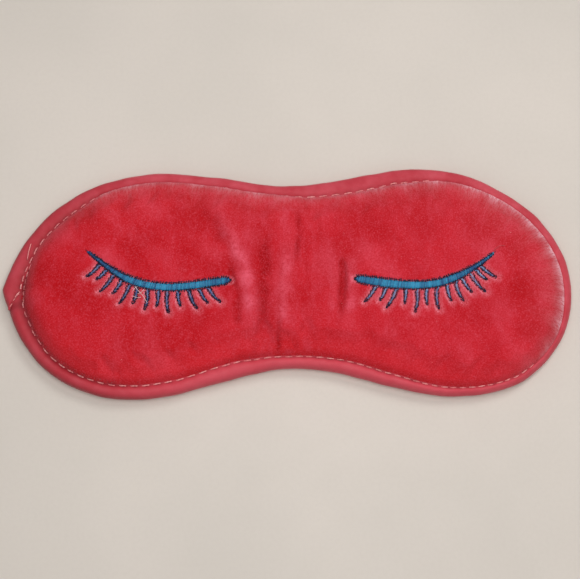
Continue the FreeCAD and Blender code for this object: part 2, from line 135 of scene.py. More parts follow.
def wobble(s, wavelength, seed, period):
    """Smooth random curve along a closed edge, about -1 to 1."""
    random = np.random.default_rng(seed)
    top = max(3, int(period / wavelength))
    turns = np.arange(max(1, top // 2), top + 4)
    phase = random.uniform(0, math.tau, len(turns))
    waves = np.sin(math.tau * np.asarray(s)[:, None] * turns / period + phase)
    return waves.sum(1) / math.sqrt(2 * len(turns))


def make_piece(name, points_mm, faces, material, attributes=None, smooth=True):
    """A mesh object from points in millimetres, with one number per point if given."""
    mesh = bpy.data.meshes.new(name)
    mesh.from_pydata((np.asarray(points_mm) * MM).tolist(), [], faces)
    mesh.update()
    for key, values in (attributes or {}).items():
        layer = mesh.attributes.new(key, "FLOAT", "POINT")
        layer.data.foreach_set("value", np.asarray(values, np.float32))
    if smooth:
        mesh.polygons.foreach_set("use_smooth", [True] * len(mesh.polygons))
    mesh.materials.append(material)
    piece = bpy.data.objects.new(name, mesh)
    bpy.context.scene.collection.objects.link(piece)
    return piece


def bend_with_fold(piece):
    """Fabric that crosses the crease over the nose bridge: its placement is only baked into its
    mesh.
    """
    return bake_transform(piece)


# ---- the mask's edge

EDGE_COUNT = 1440
EDGE_HARMONICS = 44
FINE_COUNT = 4096               # of places round the edge while it is smoothed
RIM_Z = 2.4                    # height of the binding's outermost line
RIM_TOLERANCE = 0.03
LAP_ANGLE = math.radians(-178.2)     # where the binding's end laps over its start


def edge_from_frame():
    """The outer edge from the binding's CAD meshes: evenly spaced points, anticlockwise."""
    rim = np.vstack([node_points("edge_binding_left"), node_points("edge_binding_right")])
    rim = rim[np.abs(rim[:, 2] - RIM_Z) < RIM_TOLERANCE][:, :2]
    angle = np.arctan2(rim[:, 1], rim[:, 0])
    order = np.argsort(angle)
    angle, rim = angle[order], rim[order]
    turn = np.linspace(-math.pi, math.pi, FINE_COUNT, endpoint=False)
    radius = np.interp(turn, angle, np.hypot(rim[:, 0], rim[:, 1]), period=math.tau)
    curve = radius * np.exp(1j * turn)
    for _ in range(3):
        closed = np.append(curve, curve[0])
        length = np.append(0, np.cumsum(np.abs(np.diff(closed))))
        even = np.linspace(0, length[-1], FINE_COUNT, endpoint=False)
        curve = np.interp(even, length, closed.real) + 1j * np.interp(even, length, closed.imag)
        waves = np.fft.fft(curve)
        waves[EDGE_HARMONICS:-EDGE_HARMONICS] = 0
        curve = np.fft.ifft(waves)
    curve = np.roll(curve, -np.argmin(np.abs(np.angle(curve))))
    closed = np.append(curve, curve[0])
    pick = np.arange(EDGE_COUNT) * FINE_COUNT / EDGE_COUNT
    known = np.arange(FINE_COUNT + 1)
    return np.column_stack([np.interp(pick, known, part) for part in (closed.real, closed.imag)])


EDGE = edge_from_frame()
EDGE_STEP = np.linalg.norm(np.roll(EDGE, -1, 0) - EDGE, axis=1).mean()
EDGE_LENGTH = EDGE_STEP * EDGE_COUNT
EDGE_ALONG = unit(np.roll(EDGE, -1, 0) - np.roll(EDGE, 1, 0))
EDGE_IN = np.column_stack([-EDGE_ALONG[:, 1], EDGE_ALONG[:, 0]])
EDGE_TREE = KDTree(EDGE_COUNT)
for index, point in enumerate(EDGE):
    EDGE_TREE.insert((point[0], point[1], 0.0), index)
EDGE_TREE.balance()


def edge_at(s):
    """Point and inward direction at a distance along the edge."""
    place = (np.asarray(s, float) / EDGE_STEP) % EDGE_COUNT
    low = place.astype(int) % EDGE_COUNT
    share = (place - np.floor(place))[:, None]
    high = (low + 1) % EDGE_COUNT
    point = EDGE[low] * (1 - share) + EDGE[high] * share
    return point, unit(EDGE_IN[low] * (1 - share) + EDGE_IN[high] * share)


def inset_of(xy):
    """Distance inside the edge, and distance along it, of each point."""
    near = np.array([EDGE_TREE.find((x, y, 0.0))[1] for x, y in xy])
    offset = xy - EDGE[near]
    along = (offset * EDGE_ALONG[near]).sum(1)
    return (offset * EDGE_IN[near]).sum(1), near * EDGE_STEP + along


EDGE_TURN = np.arctan2(EDGE[:, 1], EDGE[:, 0]) - LAP_ANGLE
S_LAP = np.argmin(np.abs(np.angle(np.exp(1j * EDGE_TURN)))) * EDGE_STEP


def from_lap(s):
    """Signed distance along the edge from the lap's outer corner."""
    return (np.asarray(s) - S_LAP + EDGE_LENGTH / 2) % EDGE_LENGTH - EDGE_LENGTH / 2


def table_along(u, table, soften=2.5):
    """A value listed at distances from the lap's corner, eased between the entries."""
    keys, values = zip(*table)
    u = np.asarray(u, float)
    return sum(np.interp(u + soften * k, keys, values) for k in (-1, -0.5, 0, 0.5, 1)) / 5


# Inset of the seam round the mask. The tape is widest where its ends lap.
SEAM = [
    (-251, 3.5), (-238, 3.6), (-213, 3.7), (-196, 4.1), (-178, 4.6), (-171, 5.3), (-161, 5.4),
    (-151, 5.9), (-144, 5.6), (-133, 5.1), (-123, 4.2), (-109, 4.0), (-74, 4.0), (-53, 4.2),
    (-46, 5.0), (-39, 5.3), (-22, 5.4), (-18, 5.7), (-15, 6.5), (-8, 7.6), (0, 7.9), (4, 7.5),
    (9, 6.9), (16, 6.5), (23, 5.7), (30, 4.9), (37, 4.7), (90, 4.7), (100, 5.4), (107, 5.4),
    (114, 4.8), (124, 4.0), (135, 4.3), (149, 4.8), (163, 4.1), (177, 3.2), (187, 2.9),
    (201, 2.6), (232, 2.5), (240, 3.0), (251, 3.5),
]
# The same on the tape's upper end, which is cut slantwise and runs off over the edge.
UPPER_END = [(-20, 5.6), (-15, 6.2), (-8, 6.8), (1, 6.7), (8, 1.5), (9, 1.5)]
# How far the outer edge is drawn in beside the lap's corner.
NOTCH = [(-30, 0.0), (-18, 0.35), (-8, 0.9), (-3, 0.45), (0, -0.15), (1, 0.2), (8, 1.5),
         (11, 1.4), (16, 1.0), (23, 0.5), (30, 0.0)]
# How far the velvet swells over the seam and hides it.
OVERHANG = [(-251, 1.0), (-190, 1.0), (-176, 0.15), (-132, 0.15), (-122, 0.8), (-55, 0.8),
            (-48, 0.0), (200, 0.0), (215, 0.4), (232, 0.9), (251, 1.0)]
PLAIN_SEAM = 3.75


def seam_shift(s):
    return table_along(from_lap(s), SEAM) - PLAIN_SEAM


# ---- materials

ROSE_SHEEN = (1.0, 0.7, 0.72, 1)


def srgb(red, green, blue):
    """Linear colour from 0 to 255 display values."""
    made = []
    for value in (red, green, blue):
        v = value / 255
        made.append(v / 12.92 if v <= 0.04045 else ((v + 0.055) / 1.055) ** 2.4)
    return (*made, 1.0)


class Shader:
    """A Principled material whose colour is built up layer by layer over a base.

    Colours are given as display values, 0 to 255.
    """

    def __init__(self, name, base, **sockets):
        self.material = bpy.data.materials.new(name)
        self.material.use_nodes = True
        self.tree = self.material.node_tree
        self.surface = self.tree.nodes["Principled BSDF"]
        for key, value in sockets.items():
            self.surface.inputs[key.replace("_", " ")].default_value = value
        self.place = self.tree.nodes.new("ShaderNodeTexCoord").outputs["Object"]
        self.paint = srgb(*base)
        self.height = None

    def put(self, socket, value):
        if isinstance(value, bpy.types.NodeSocket):
            self.tree.links.new(value, socket)
        else:
            socket.default_value = value

    def node(self, kind, inputs=None, **settings):
        made = self.tree.nodes.new(kind)
        for key, value in settings.items():
            setattr(made, key, value)
        for key, value in (inputs or {}).items():
            self.put(made.inputs[key], value)
        return made

    def scaled(self, sizes_mm):
        """Coordinates where one unit is the given size in millimetres along each axis."""
        scale = tuple(1 / (size * MM) for size in sizes_mm)
        mapping = self.node("ShaderNodeMapping", {"Vector": self.place, "Scale": scale})
        return mapping.outputs["Vector"]

    def noise(self, size_mm, detail=2.0, roughness=0.5, stretch=(1, 1, 1)):
        made = self.node("ShaderNodeTexNoise",
                         {"Vector": self.scaled([size_mm * s for s in stretch]), "Scale": 1.0,
                          "Detail": detail, "Roughness": roughness})
        return made.outputs["Fac"]

    def wave(self, direction, size_mm, distortion, detail):
        made = self.node("ShaderNodeTexWave",
                         {"Vector": self.scaled([size_mm] * 3), "Scale": 1.0,
                          "Distortion": distortion, "Detail": detail}, bands_direction=direction)
        return made.outputs["Fac"]

    def weave(self, thread_mm):
        """A plain diagonal weave: two crossing sets of ridges."""
        first, second = (self.wave(way, thread_mm * 2, 0.6, 1.0) for way in ("DIAGONAL", "X"))
        return self.maths("MULTIPLY", first, second)

    def attribute(self, name, output="Fac"):
        return self.node("ShaderNodeAttribute", attribute_name=name).outputs[output]

    def maths(self, operation, first, second):
        return self.node("ShaderNodeMath", {0: first, 1: second}, operation=operation).outputs[0]

    def spread(self, value, low, high, to_low=0.0, to_high=1.0):
        """Stretches the part of a value between low and high over a new range."""
        made = self.node("ShaderNodeMapRange",
                         {"Value": value, "From Min": low, "From Max": high,
                          "To Min": to_low, "To Max": to_high}, interpolation_type="SMOOTHSTEP")
        return made.outputs["Result"]

    def patches(self, size_mm, to_low=0.0, to_high=1.0, detail=2.0, low=0.3, high=0.7, **how):
        """Noise, its part between low and high stretched over a new range."""
        return self.spread(self.noise(size_mm, detail, **how), low, high, to_low, to_high)

    def layer(self, mask, colour, share=None):
        """Lays a colour over the paint, by a mask or a mesh attribute's name."""
        if isinstance(mask, str):
            mask = self.attribute(mask)
        if share is not None:
            mask = self.maths("MULTIPLY", mask, share)
        made = self.node("ShaderNodeMix", data_type="RGBA")
        for socket, value in ((0, mask), (6, self.paint), (7, srgb(*colour))):
            self.put(made.inputs[socket], value)
        self.paint = made.outputs[2]

    def rough(self, source):
        self.put(self.surface.inputs["Roughness"], source)

    def bump(self, height, depth_mm, strength):
        inputs = {"Height": height, "Distance": depth_mm * MM, "Strength": strength}
        if self.height is not None:
            inputs["Normal"] = self.height
        self.height = self.node("ShaderNodeBump", inputs).outputs["Normal"]
        self.put(self.surface.inputs["Normal"], self.height)

    def done(self):
        self.put(self.surface.inputs["Base Color"], self.paint)
        return self.material


def velvet_material():
    look = Shader("velvet_pile", (186, 17, 27), Roughness=0.92, Sheen_Weight=0.22,
                  Sheen_Roughness=0.4, Sheen_Tint=(1.0, 0.5, 0.58, 1), Specular_IOR_Level=0.1)
    lit, dark = (210, 66, 84), (176, 10, 20)
    look.layer(look.patches(17.0, detail=3.0, low=0.38, high=0.62, roughness=0.55), (200, 31, 43))
    look.layer(look.patches(3.4, detail=3.0, low=0.42, high=0.75, roughness=0.6,
                            stretch=(0.8, 1.6, 1)), lit, 0.34)
    # Painted sheen: the velvet is painted lighter towards +X.
    across = look.node("ShaderNodeSeparateXYZ", {"Vector": look.place}).outputs["X"]
    look.layer(look.spread(across, -0.06, 0.09, 0.0, 0.14), lit)
    # Painted light and shade in patches over the pile.
    look.layer("painted_pile_light", (222, 76, 94))
    look.layer("painted_pile_shade", (178, 10, 20))
    # Painted light on the lower shoulder, which faces away from the lamps.
    look.layer("low", (222, 40, 50), 0.6)
    # Painted light and shade of small folds over the bridge.
    folds = look.noise(4.2, 3.0, 0.6, (1.0, 3.2, 1))
    look.layer("bridge", lit, look.spread(folds, 0.50, 0.66, 0.0, 0.40))
    look.layer("bridge", dark, look.spread(folds, 0.48, 0.34, 0.0, 0.45))
    mottle = look.patches(1.4, 0.45, 1.0, 3.0, 0.34, 0.60, roughness=0.7)
    # Painted shade in the creases' grooves and painted highlight on their ridges.
    look.layer("groove", (158, 4, 12), mottle)
    look.layer("ridge", (226, 90, 110), mottle)
    # Pale pile round the embroidery: pile crushed by the thread, with a painted highlight on one
    # side.
    look.layer("pressed", (244, 146, 164), look.patches(0.45, 0.05, 1.0, 3.0, 0.38, 0.60,
                                                        roughness=0.8, stretch=(0.6, 1.4, 1)))
    # Painted sheen: pale, streaked pile along the rim.
    rim = look.attribute("rim", "Vector")
    streaks = look.node("ShaderNodeTexNoise", {"Vector": rim, "Scale": 1.7, "Detail": 4.0,
                                               "Roughness": 0.75}).outputs["Fac"]
    broad = look.node("ShaderNodeTexNoise", {"Vector": rim, "Scale": 0.22,
                                             "Detail": 2.0}).outputs["Fac"]
    painted_rim_sheen = look.maths("MULTIPLY", look.attribute("painted_rim_sheen"),
                       look.spread(streaks, 0.36, 0.60, 0.38, 1.15))
    painted_rim_sheen = look.maths("MULTIPLY", painted_rim_sheen, look.spread(broad, 0.3, 0.62, 0.65, 1.1))
    look.layer(look.maths("MINIMUM", painted_rim_sheen, 0.96), (255, 206, 220))
    look.layer("shade", (146, 10, 18))
    grain = look.noise(0.50, 3.0, 0.8)
    look.layer(look.spread(grain, 0.50, 0.64, 0.0, 0.36), (224, 84, 102))
    look.layer(look.spread(grain, 0.49, 0.36, 0.0, 0.42), dark)
    look.layer(look.patches(1.1, 0.0, 0.18, 2.0, 0.58, 0.72, roughness=0.6), (226, 90, 108))
    look.bump(grain, 0.10, 0.9)
    look.bump(look.noise(1.6, 3.0, 0.6), 0.12, 0.6)
    look.bump(streaks, 0.10, 0.5)
    return look.done()


def tape_material():
    look = Shader("satin_tape", (196, 50, 66), Sheen_Weight=0.25, Sheen_Roughness=0.4,
                  Sheen_Tint=ROSE_SHEEN, Specular_IOR_Level=0.35)
    weave = look.weave(0.30)
    look.layer(look.patches(9.0, detail=3.0, roughness=0.6), (214, 78, 94))
    # Painted light along the tape's bottom run.
    look.layer("low", (226, 82, 98), 0.6)
    # Painted shade over the tape's end round the lap.
    look.layer("painted_lap_end_shade", (168, 18, 32), 0.62)
    look.layer(look.spread(weave, 0.0, 0.6, 0.3, 0.0), (160, 44, 56))
    # Painted shade: the stitch groove, the wedge beside the lap and the tape's outer edge.
    look.layer("crease", (132, 16, 30), 0.8)
    look.layer(look.patches(0.8, 0.0, 0.22, 3.0, 0.62, 0.8, roughness=0.7), (224, 112, 124))
    look.rough(look.patches(2.5, 0.5, 0.7))
    look.bump(weave, 0.05, 0.7)
    look.bump(look.noise(1.4, 3.0), 0.08, 0.5)
    return look.done()


def thread_material(name, dark, light, roughness=0.42, sheen=0.15):
    look = Shader(name, dark, Sheen_Weight=sheen, Sheen_Roughness=0.4, Specular_IOR_Level=0.4,
                  Anisotropic=0.4)
    tone = look.maths("MULTIPLY", look.attribute("tone"), 0.8)
    look.layer(look.maths("ADD", tone, look.patches(0.35, 0.0, 0.2)), light)
    look.rough(look.patches(0.5, roughness - 0.08, roughness + 0.1))
    look.bump(look.noise(0.12, 2.0, 0.6), 0.03, 0.7)
    return look.done()


def satin_material():
    look = Shader("lining_satin", (158, 34, 48), Sheen_Weight=0.15, Specular_IOR_Level=0.5,
                  Anisotropic=0.5)
    fine = look.noise(0.18, 2.0, 0.5, (9, 1, 1))
    look.layer(look.patches(20.0, detail=3.0), (184, 56, 70))
    look.layer(look.spread(fine, 0.4, 0.7, 0.0, 0.3), (120, 20, 34))
    look.rough(look.patches(6.0, 0.3, 0.46, 3.0))
    look.bump(fine, 0.03, 0.6)
    look.bump(look.noise(7.0, 2.0), 0.35, 0.5)
    return look.done()


def foam_material():
    look = Shader("pad_foam", (206, 190, 160), Specular_IOR_Level=0.2, Subsurface_Weight=0.1)
    pores = look.node("ShaderNodeTexVoronoi", {"Vector": look.scaled([0.7] * 3), "Scale": 1.0})
    depth = pores.outputs["Distance"]
    look.layer(look.spread(depth, 0.1, 0.7), (238, 230, 210))
    look.layer(look.patches(12.0, 0.0, 0.4), (228, 208, 168))
    look.rough(look.spread(depth, 0.0, 1.0, 0.95, 0.8))
    look.bump(depth, 0.3, 0.8)
    return look.done()


def blackout_material():
    look = Shader("blackout_cloth", (16, 15, 17), Specular_IOR_Level=0.2)
    weave = look.weave(0.4)
    look.layer(weave, (46, 44, 48))
    look.rough(look.patches(3.0, 0.75, 0.92))
    look.bump(weave, 0.08, 0.8)
    return look.done()


def elastic_material():
    look = Shader("knit_elastic", (140, 28, 42), Sheen_Weight=0.3, Sheen_Roughness=0.4,
                  Sheen_Tint=ROSE_SHEEN, Specular_IOR_Level=0.3)
    loops = look.wave("X", 1.5, 1.4, 2.0)
    look.layer(look.spread(look.attribute("tone"), 0.0, 1.0), (198, 68, 84))
    look.layer(look.spread(loops, 0.2, 0.9, 0.35, 0.0), (118, 20, 34))
    look.layer(look.patches(6.0, 0.0, 0.3, 3.0, 0.4, 0.8), (210, 96, 110))
    look.rough(look.patches(1.5, 0.62, 0.8))
    look.bump(loops, 0.12, 0.8)
    look.bump(look.noise(0.3, 2.0), 0.05, 0.6)
    return look.done()


def metal_material():
    look = Shader("plated_ring", (206, 204, 202), Metallic=1.0, Specular_IOR_Level=0.5)
    scratches = look.noise(0.9, 4.0, 0.7, (6, 1, 1))
    look.layer(look.spread(scratches, 0.4, 0.75), (168, 164, 162))
    look.rough(look.patches(2.2, 0.14, 0.32, 3.0, high=0.75))
    look.bump(scratches, 0.02, 0.3)
    return look.done()


def plastic_material():
    look = Shader("moulded_slider", (150, 26, 42), Specular_IOR_Level=0.5, Coat_Weight=0.25,
                  Coat_Roughness=0.15)
    look.layer(look.patches(4.0, detail=3.0), (168, 38, 54))
    look.layer(look.patches(0.5, 0.0, 0.35, 4.0, 0.62, 0.8, roughness=0.75,
                            stretch=(1, 5, 1)), (206, 110, 120))
    look.rough(look.patches(1.2, 0.22, 0.42, 3.0))
    look.bump(look.noise(0.35, 2.0), 0.02, 0.4)
    return look.done()


def table_material():
    look = Shader("pale_table", (213, 206, 198), Specular_IOR_Level=0.25)
    look.layer(look.patches(90.0, detail=3.0), (220, 212, 204))
    look.layer(look.patches(1.4, 0.0, 0.12, 3.0, high=0.8), (200, 191, 183))
    look.rough(look.patches(8.0, 0.55, 0.7))
    look.bump(look.noise(1.0, 3.0), 0.03, 0.4)
    return look.done()


VELVET = velvet_material()
TAPE = tape_material()
TAPE_THREAD = thread_material("tape_thread", (214, 104, 112), (248, 176, 176), 0.5)
LID_THREAD = thread_material("lid_thread", (6, 50, 110), (52, 158, 200))
NAVY_THREAD = thread_material("navy_thread", (2, 2, 26), (16, 22, 84), 0.55, 0.0)
CORE_THREAD = thread_material("lash_core_thread", (60, 84, 146), (160, 180, 218))
LINT = thread_material("lint", (220, 110, 120), (246, 190, 194), 0.6)
PALE_THREAD = thread_material("pale_thread", (228, 170, 176), (255, 226, 222), 0.6)
RED_FIBRE = thread_material("red_fibre", (136, 18, 30), (214, 84, 96), 0.6)
SATIN = satin_material()
FOAM = foam_material()
BLACKOUT = blackout_material()
ELASTIC = elastic_material()
METAL = metal_material()
PLASTIC = plastic_material()


# ---- threads

def swept(rows, sides, first=0):
    """Faces of a tube of rings of points: its quads, then its two end caps."""
    faces = []
    for row in range(rows - 1):
        for k in range(sides):
            a = first + row * sides + k
            b = first + row * sides + (k + 1) % sides
            faces.append((a, b, b + sides, a + sides))
    last = first + (rows - 1) * sides
    faces.append(tuple(first + k for k in reversed(range(sides))))
    faces.append(tuple(last + k for k in range(sides)))
    return faces


def random_for(seed, side):
    return np.random.default_rng(seed + (side == "right"))


BLUNT = 0.45                    # how thick a thread's rounded tip is, as a share


class Threads:
    """A growing set of short round threads that becomes one mesh."""

    def __init__(self, sides=6):
        self.sides = sides
        self.points = []
        self.faces = []
        self.tones = []
        self.count = 0

    def add(self, path, radius, tone):
        """One thread along a path of points; its ends are rounded off."""
        path = np.asarray(path, float)
        steps = len(path)
        along = unit(np.gradient(path, axis=0))
        side = np.cross(along, (0.0, 0.0, 1.0))
        length = np.linalg.norm(side, axis=1)[:, None]
        side = np.where(length > 1e-6, side / np.maximum(length, 1e-6), (1.0, 0.0, 0.0))
        up = np.cross(side, along)
        radii = np.full(steps, 1.0) * radius
        radii[[0, -1]] *= BLUNT
        turn = math.tau * np.arange(self.sides) / self.sides
        ring = (side[:, None] * np.cos(turn)[None, :, None]
                + up[:, None] * np.sin(turn)[None, :, None])
        points = path[:, None] + ring * radii[:, None, None]
        self.points.append(points.reshape(-1, 3))
        self.faces += swept(steps, self.sides, self.count)
        self.tones.append(np.full(steps * self.sides, tone))
        self.count += steps * self.sides

    def piece(self, name, material):
        return make_piece(name, np.vstack(self.points), self.faces, material,
                          {"tone": np.concatenate(self.tones)})


def arched(start, end, rise, sink, steps):
    """A stitch seen from the side: both ends dive into the cloth."""
    t = np.linspace(0, 1, steps)
    start, end = np.asarray(start, float), np.asarray(end, float)
    path = start + (end - start) * t[:, None]
    path[:, 2] += rise * np.sin(math.pi * t) ** 0.6 - sink * (1 - np.sin(math.pi * t) ** 0.5)
    return path


# ---- flat sheets inside the edge

BOUNDARY_COUNT = 960
ROW_SHARE = 0.866               # spacing of an even triangular grid's rows
ZONE_SPACING = 0.4


def flat_sheet(rings, spacing, zones=()):
    """Triangles that fill the edge inset by rings[0]: rings, then an even triangular grid.

    zones are (low x, low y, high x, high y) with a finer grid. The first BOUNDARY_COUNT
    points are the outer ring.
    """
    s = np.arange(BOUNDARY_COUNT) * EDGE_LENGTH / BOUNDARY_COUNT
    point, inward = edge_at(s)
    shift = seam_shift(s)
    rows = [point + inward * (inset + shift * smoothstep(2.4, 3.9, inset))[:, None]
            for inset in rings]

    def grid(low_x, low_y, high_x, high_y, step):
        made = []
        for row, y in enumerate(np.arange(low_y, high_y, step * ROW_SHARE)):
            x = np.arange(low_x + (row % 2) * step / 2, high_x, step)
            made.append(np.column_stack([x, np.full(len(x), y)]))
        return np.vstack(made)

    inner = grid(cad_low.x / MM, cad_low.y / MM, cad_high.x / MM, cad_high.y / MM, spacing)
    for low_x, low_y, high_x, high_y in zones:
        inside = ((inner[:, 0] > low_x) & (inner[:, 0] < high_x)
                  & (inner[:, 1] > low_y) & (inner[:, 1] < high_y))
        inner = np.vstack([inner[~inside], grid(low_x, low_y, high_x, high_y, ZONE_SPACING)])
    inset, along = inset_of(inner)
    inner = inner[inset - seam_shift(along) > rings[-1] + spacing * 0.5]
    points = np.vstack(rows + [inner])
    loop = [(k, (k + 1) % BOUNDARY_COUNT) for k in range(BOUNDARY_COUNT)]
    made = delaunay_2d_cdt([Vector(p) for p in points], loop, [], 0, 1e-7, False)
    flat = np.array([tuple(v) for v in made[0]])
    # Triangles outside the edge's concave parts join points of the outer ring only.
    return flat, [tuple(f) for f in made[2] if max(f) >= BOUNDARY_COUNT]


def closed_between(top, top_faces, under, under_faces):
    """One closed mesh from two sheets with the same outer ring."""
    count = len(top)
    faces = list(top_faces) + [tuple(reversed([count + k for k in f])) for f in under_faces]
    for k in range(BOUNDARY_COUNT):
        after = (k + 1) % BOUNDARY_COUNT
        faces.append((after, k, count + k, count + after))
    return np.vstack([top, under]), faces


SHOULDER_START = 4.3            # inset where the pad starts to rise, at the binding
SHOULDER_WIDTH = 13.0


def shoulder(inset):
    """The pad's rounded rise from the seam to its flat face, 0 to 1."""
    t = np.clip((inset - SHOULDER_START) / SHOULDER_WIDTH, 0.0, 1.0)
    return (1.0 - (1.0 - t) ** 2.4) ** 0.625


LAYER_NODES = ["satin_lining", "blackout_interlining", "foam_pad", "velvet_cover"]
LINING_THICK = 0.7
TAPE_THICK = 0.8
RIM_Z_OF = [box_mm(node + "_left")[0][2] for node in LAYER_NODES]
RIM_Z_OF.append(box_mm("edge_binding_left")[1][2] - TAPE_THICK)
FACE_Z_OF = [box_mm(node + "_left")[1][2] for node in LAYER_NODES]
FACE_Z_OF = [FACE_Z_OF[0] - LINING_THICK] + FACE_Z_OF
LAYER_GAP = 0.04


def layer_height(level, inset, s, reach=0.0):
    """Height of the boundary between two layers; level 0 is the lining's underside.

    inset and s are places inside and along the edge; reach brings the rise outwards.
    """
    rise = shoulder(inset - seam_shift(s) + reach)
    return RIM_Z_OF[level] + (FACE_Z_OF[level] - RIM_Z_OF[level]) * rise


# ---- embroidery read from the frame

def loose_parts(node):
    """Each connected part of a node, as points and edges."""
    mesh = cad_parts[node].data
    points = node_points(node)
    edges = np.zeros(len(mesh.edges) * 2, int)
    mesh.edges.foreach_get("vertices", edges)
    edges = edges.reshape(-1, 2)
    _, same = np.unique(np.round(points, 4), axis=0, return_inverse=True)
    same = same.ravel()
    parent = list(range(same.max() + 1))

    def root(k):
        while parent[k] != k:
            parent[k] = parent[parent[k]]
            k = parent[k]
        return k

    for a, b in edges:
        parent[root(same[a])] = root(same[b])
    label = np.array([root(k) for k in same])
    return [(points, edges[label[edges[:, 0]] == k]) for k in np.unique(label)]


def strip_line(points, edges, stations):
    """Centre line and half width of a narrow flat part, by slicing it along its length."""
    flat = points[np.unique(edges)][:, :2]
    middle = flat.mean(0)
    axis = np.linalg.svd(flat - middle, full_matrices=False)[2][0]
    turned = (points[:, :2] - middle) @ np.array([axis, (-axis[1], axis[0])]).T
    low, high = turned[np.unique(edges), 0].min(), turned[np.unique(edges), 0].max()
    a, b = turned[edges[:, 0]], turned[edges[:, 1]]
    line, half = [], []
    margin = (high - low) * 0.012
    for u in np.linspace(low + margin, high - margin, stations):
        crosses = (a[:, 0] - u) * (b[:, 0] - u) <= 0
        p, q = a[crosses], b[crosses]
        span = np.where(np.abs(q[:, 0] - p[:, 0]) < 1e-9, 1.0, q[:, 0] - p[:, 0])
        v = p[:, 1] + (q[:, 1] - p[:, 1]) * (u - p[:, 0]) / span
        line.append(middle + axis * u + np.array((-axis[1], axis[0])) * (v.min() + v.max()) / 2)
        half.append((v.max() - v.min()) / 2)
    line = np.array(line)
    slope = unit(np.gradient(line, axis=0))
    return line, np.array(half) * np.abs(slope @ axis)


def resampled(line, half, count):
    """The same strip at evenly spaced places, with its directions."""
    length = run_lengths(line)
    even = np.linspace(0, length[-1], count)
    place = np.column_stack([np.interp(even, length, part) for part in line.T])
    along = unit(np.gradient(place, axis=0))
    across = np.column_stack([-along[:, 1], along[:, 0]])
    return place, along, across, np.interp(even, length, half)


STATIONS = 90                   # along a lid


def read_eye(side):
    """Lid and lashes of one eye: strips that start at the nose and at the lid."""
    line, half = strip_line(*loose_parts("lid_band_" + side)[0], STATIONS)
    if abs(line[0, 0]) > abs(line[-1, 0]):
        line, half = line[::-1], half[::-1]
    lashes = []
    for part in loose_parts("lashes_" + side):
        lash, lash_half = strip_line(*part, 14)
        gap = [np.linalg.norm(line - end, axis=1).min() for end in (lash[0], lash[-1])]
        if gap[0] > gap[1]:
            lash, lash_half = lash[::-1], lash_half[::-1]
        lashes.append((lash, lash_half))
    return (line, half), lashes


EYES = {side: read_eye(side) for side in ("left", "right")}


# ---- velvet front

# Creases and folds pressed into the velvet over the bridge: points along each, height
# (negative for a groove), half width, and the strength of its painted shade in a groove and
# painted highlight on a ridge.
CREASES = [
    ([(-31.0, 28.0), (-26.0, 20.0), (-22.5, 11.0)], -0.40, 2.6, 0.6),
    ([(-23.8, 27.0), (-20.9, 17.0), (-17.7, 9.5), (-15.1, 3.0), (-13.2, -6.0), (-12.6, -13.0),
      (-14.6, -26.0)], 0.75, 2.2, 1.0),
    ([(-21.6, 9.0), (-19.8, 1.5), (-17.9, -6.5), (-17.7, -14.0), (-17.5, -20.0)], -0.6, 1.3, 1.0),
    ([(-9.5, 19.0), (-8.0, 8.0), (-8.5, -2.0), (-9.0, -12.0), (-9.7, -23.0)], -0.60, 2.5, 1.0),
    ([(0.2, 19.0), (0.0, 8.0), (-0.8, -4.0), (-1.2, -12.0), (-2.0, -24.0)], 0.50, 2.2, 0.62),
    ([(3.2, 26.0), (4.0, 16.5), (2.8, 4.0)], -0.40, 0.9, 0.9),
    ([(-3.2, -14.0), (-3.0, -27.0)], -0.40, 0.8, 0.9),
    ([(19.0, 8.5), (19.8, 4.0), (20.1, -1.0), (19.6, -6.0), (18.4, -17.0)], -1.1, 1.25, 1.7),
    ([(22.6, 10.0), (23.2, -2.8), (22.0, -15.0)], 0.35, 1.7, 0.75),
    ([(16.2, 9.1), (16.8, -2.8), (15.8, -14.7)], 0.25, 1.4, 0.30),
]

# How strongly painted sheen lights the pile at the rim, and how much painted shade it gets.
PAINTED_RIM_SHEEN = [(-251, 1.0), (-246, 1.1), (-203, 1.15), (-196, 0.85), (-178, 0.60), (-161, 0.40),
         (-144, 0.25), (-131, 0.30), (-119, 0.50), (-103, 0.50), (-92, 0.45), (-78, 0.30),
         (-72, 0.55), (-57, 0.55), (-50, 0.2), (-39, 0.1), (-10, 0.0), (205, 0.0),
         (222, 0.2), (232, 0.65), (240, 0.9), (251, 1.0)]
SHADE = [(-251, 0.0), (-45, 0.0), (-25, 0.15), (0, 0.45), (25, 0.35), (60, 0.12), (90, 0.05),
         (185, 0.05), (215, 0.0), (251, 0.0)]
# Patches of painted light (positive amount, lighter) and painted shade (negative amount, darker)
# on the pile: x, y, radius, amount.
PAINTED_LIGHT_PATCHES = [
    (71.5, 9.0, 4.0, 0.50), (65.0, -3.0, 6.0, 0.30), (75.0, -8.0, 4.0, 0.30),
    (81.5, -2.5, 5.0, -0.75), (80.0, -17.0, 7.0, -0.35), (80.0, -33.0, 8.0, 0.35),
    (-48.0, -32.0, 12.0, 0.35), (-13.0, -31.0, 7.0, 0.35), (-27.5, -11.5, 6.0, -0.45),
    (-20.3, -4.0, 2.6, -0.45), (-15.0, 0.5, 2.6, 0.95), (-13.6, -10.0, 2.4, 0.30),
    (2.5, -15.0, 3.0, -0.45), (12.0, 3.0, 5.0, 0.20), (-79.0, -9.0, 11.0, -0.30),
    (-72.0, -22.0, 8.0, -0.20), (-64.0, 24.0, 9.0, -0.15), (30.0, 24.0, 8.0, -0.30),
    (-9.0, 26.0, 6.0, -0.20), (-24.0, 14.0, 4.0, -0.30), (84.0, 10.0, 5.0, -0.35),
    (-34.0, -24.0, 7.0, -0.25), (45.0, 18.0, 8.0, -0.20), (28.0, 12.0, 5.0, 0.30),
    (-62.0, 10.0, 6.0, 0.20), (60.0, -15.0, 9.0, -0.15),
]
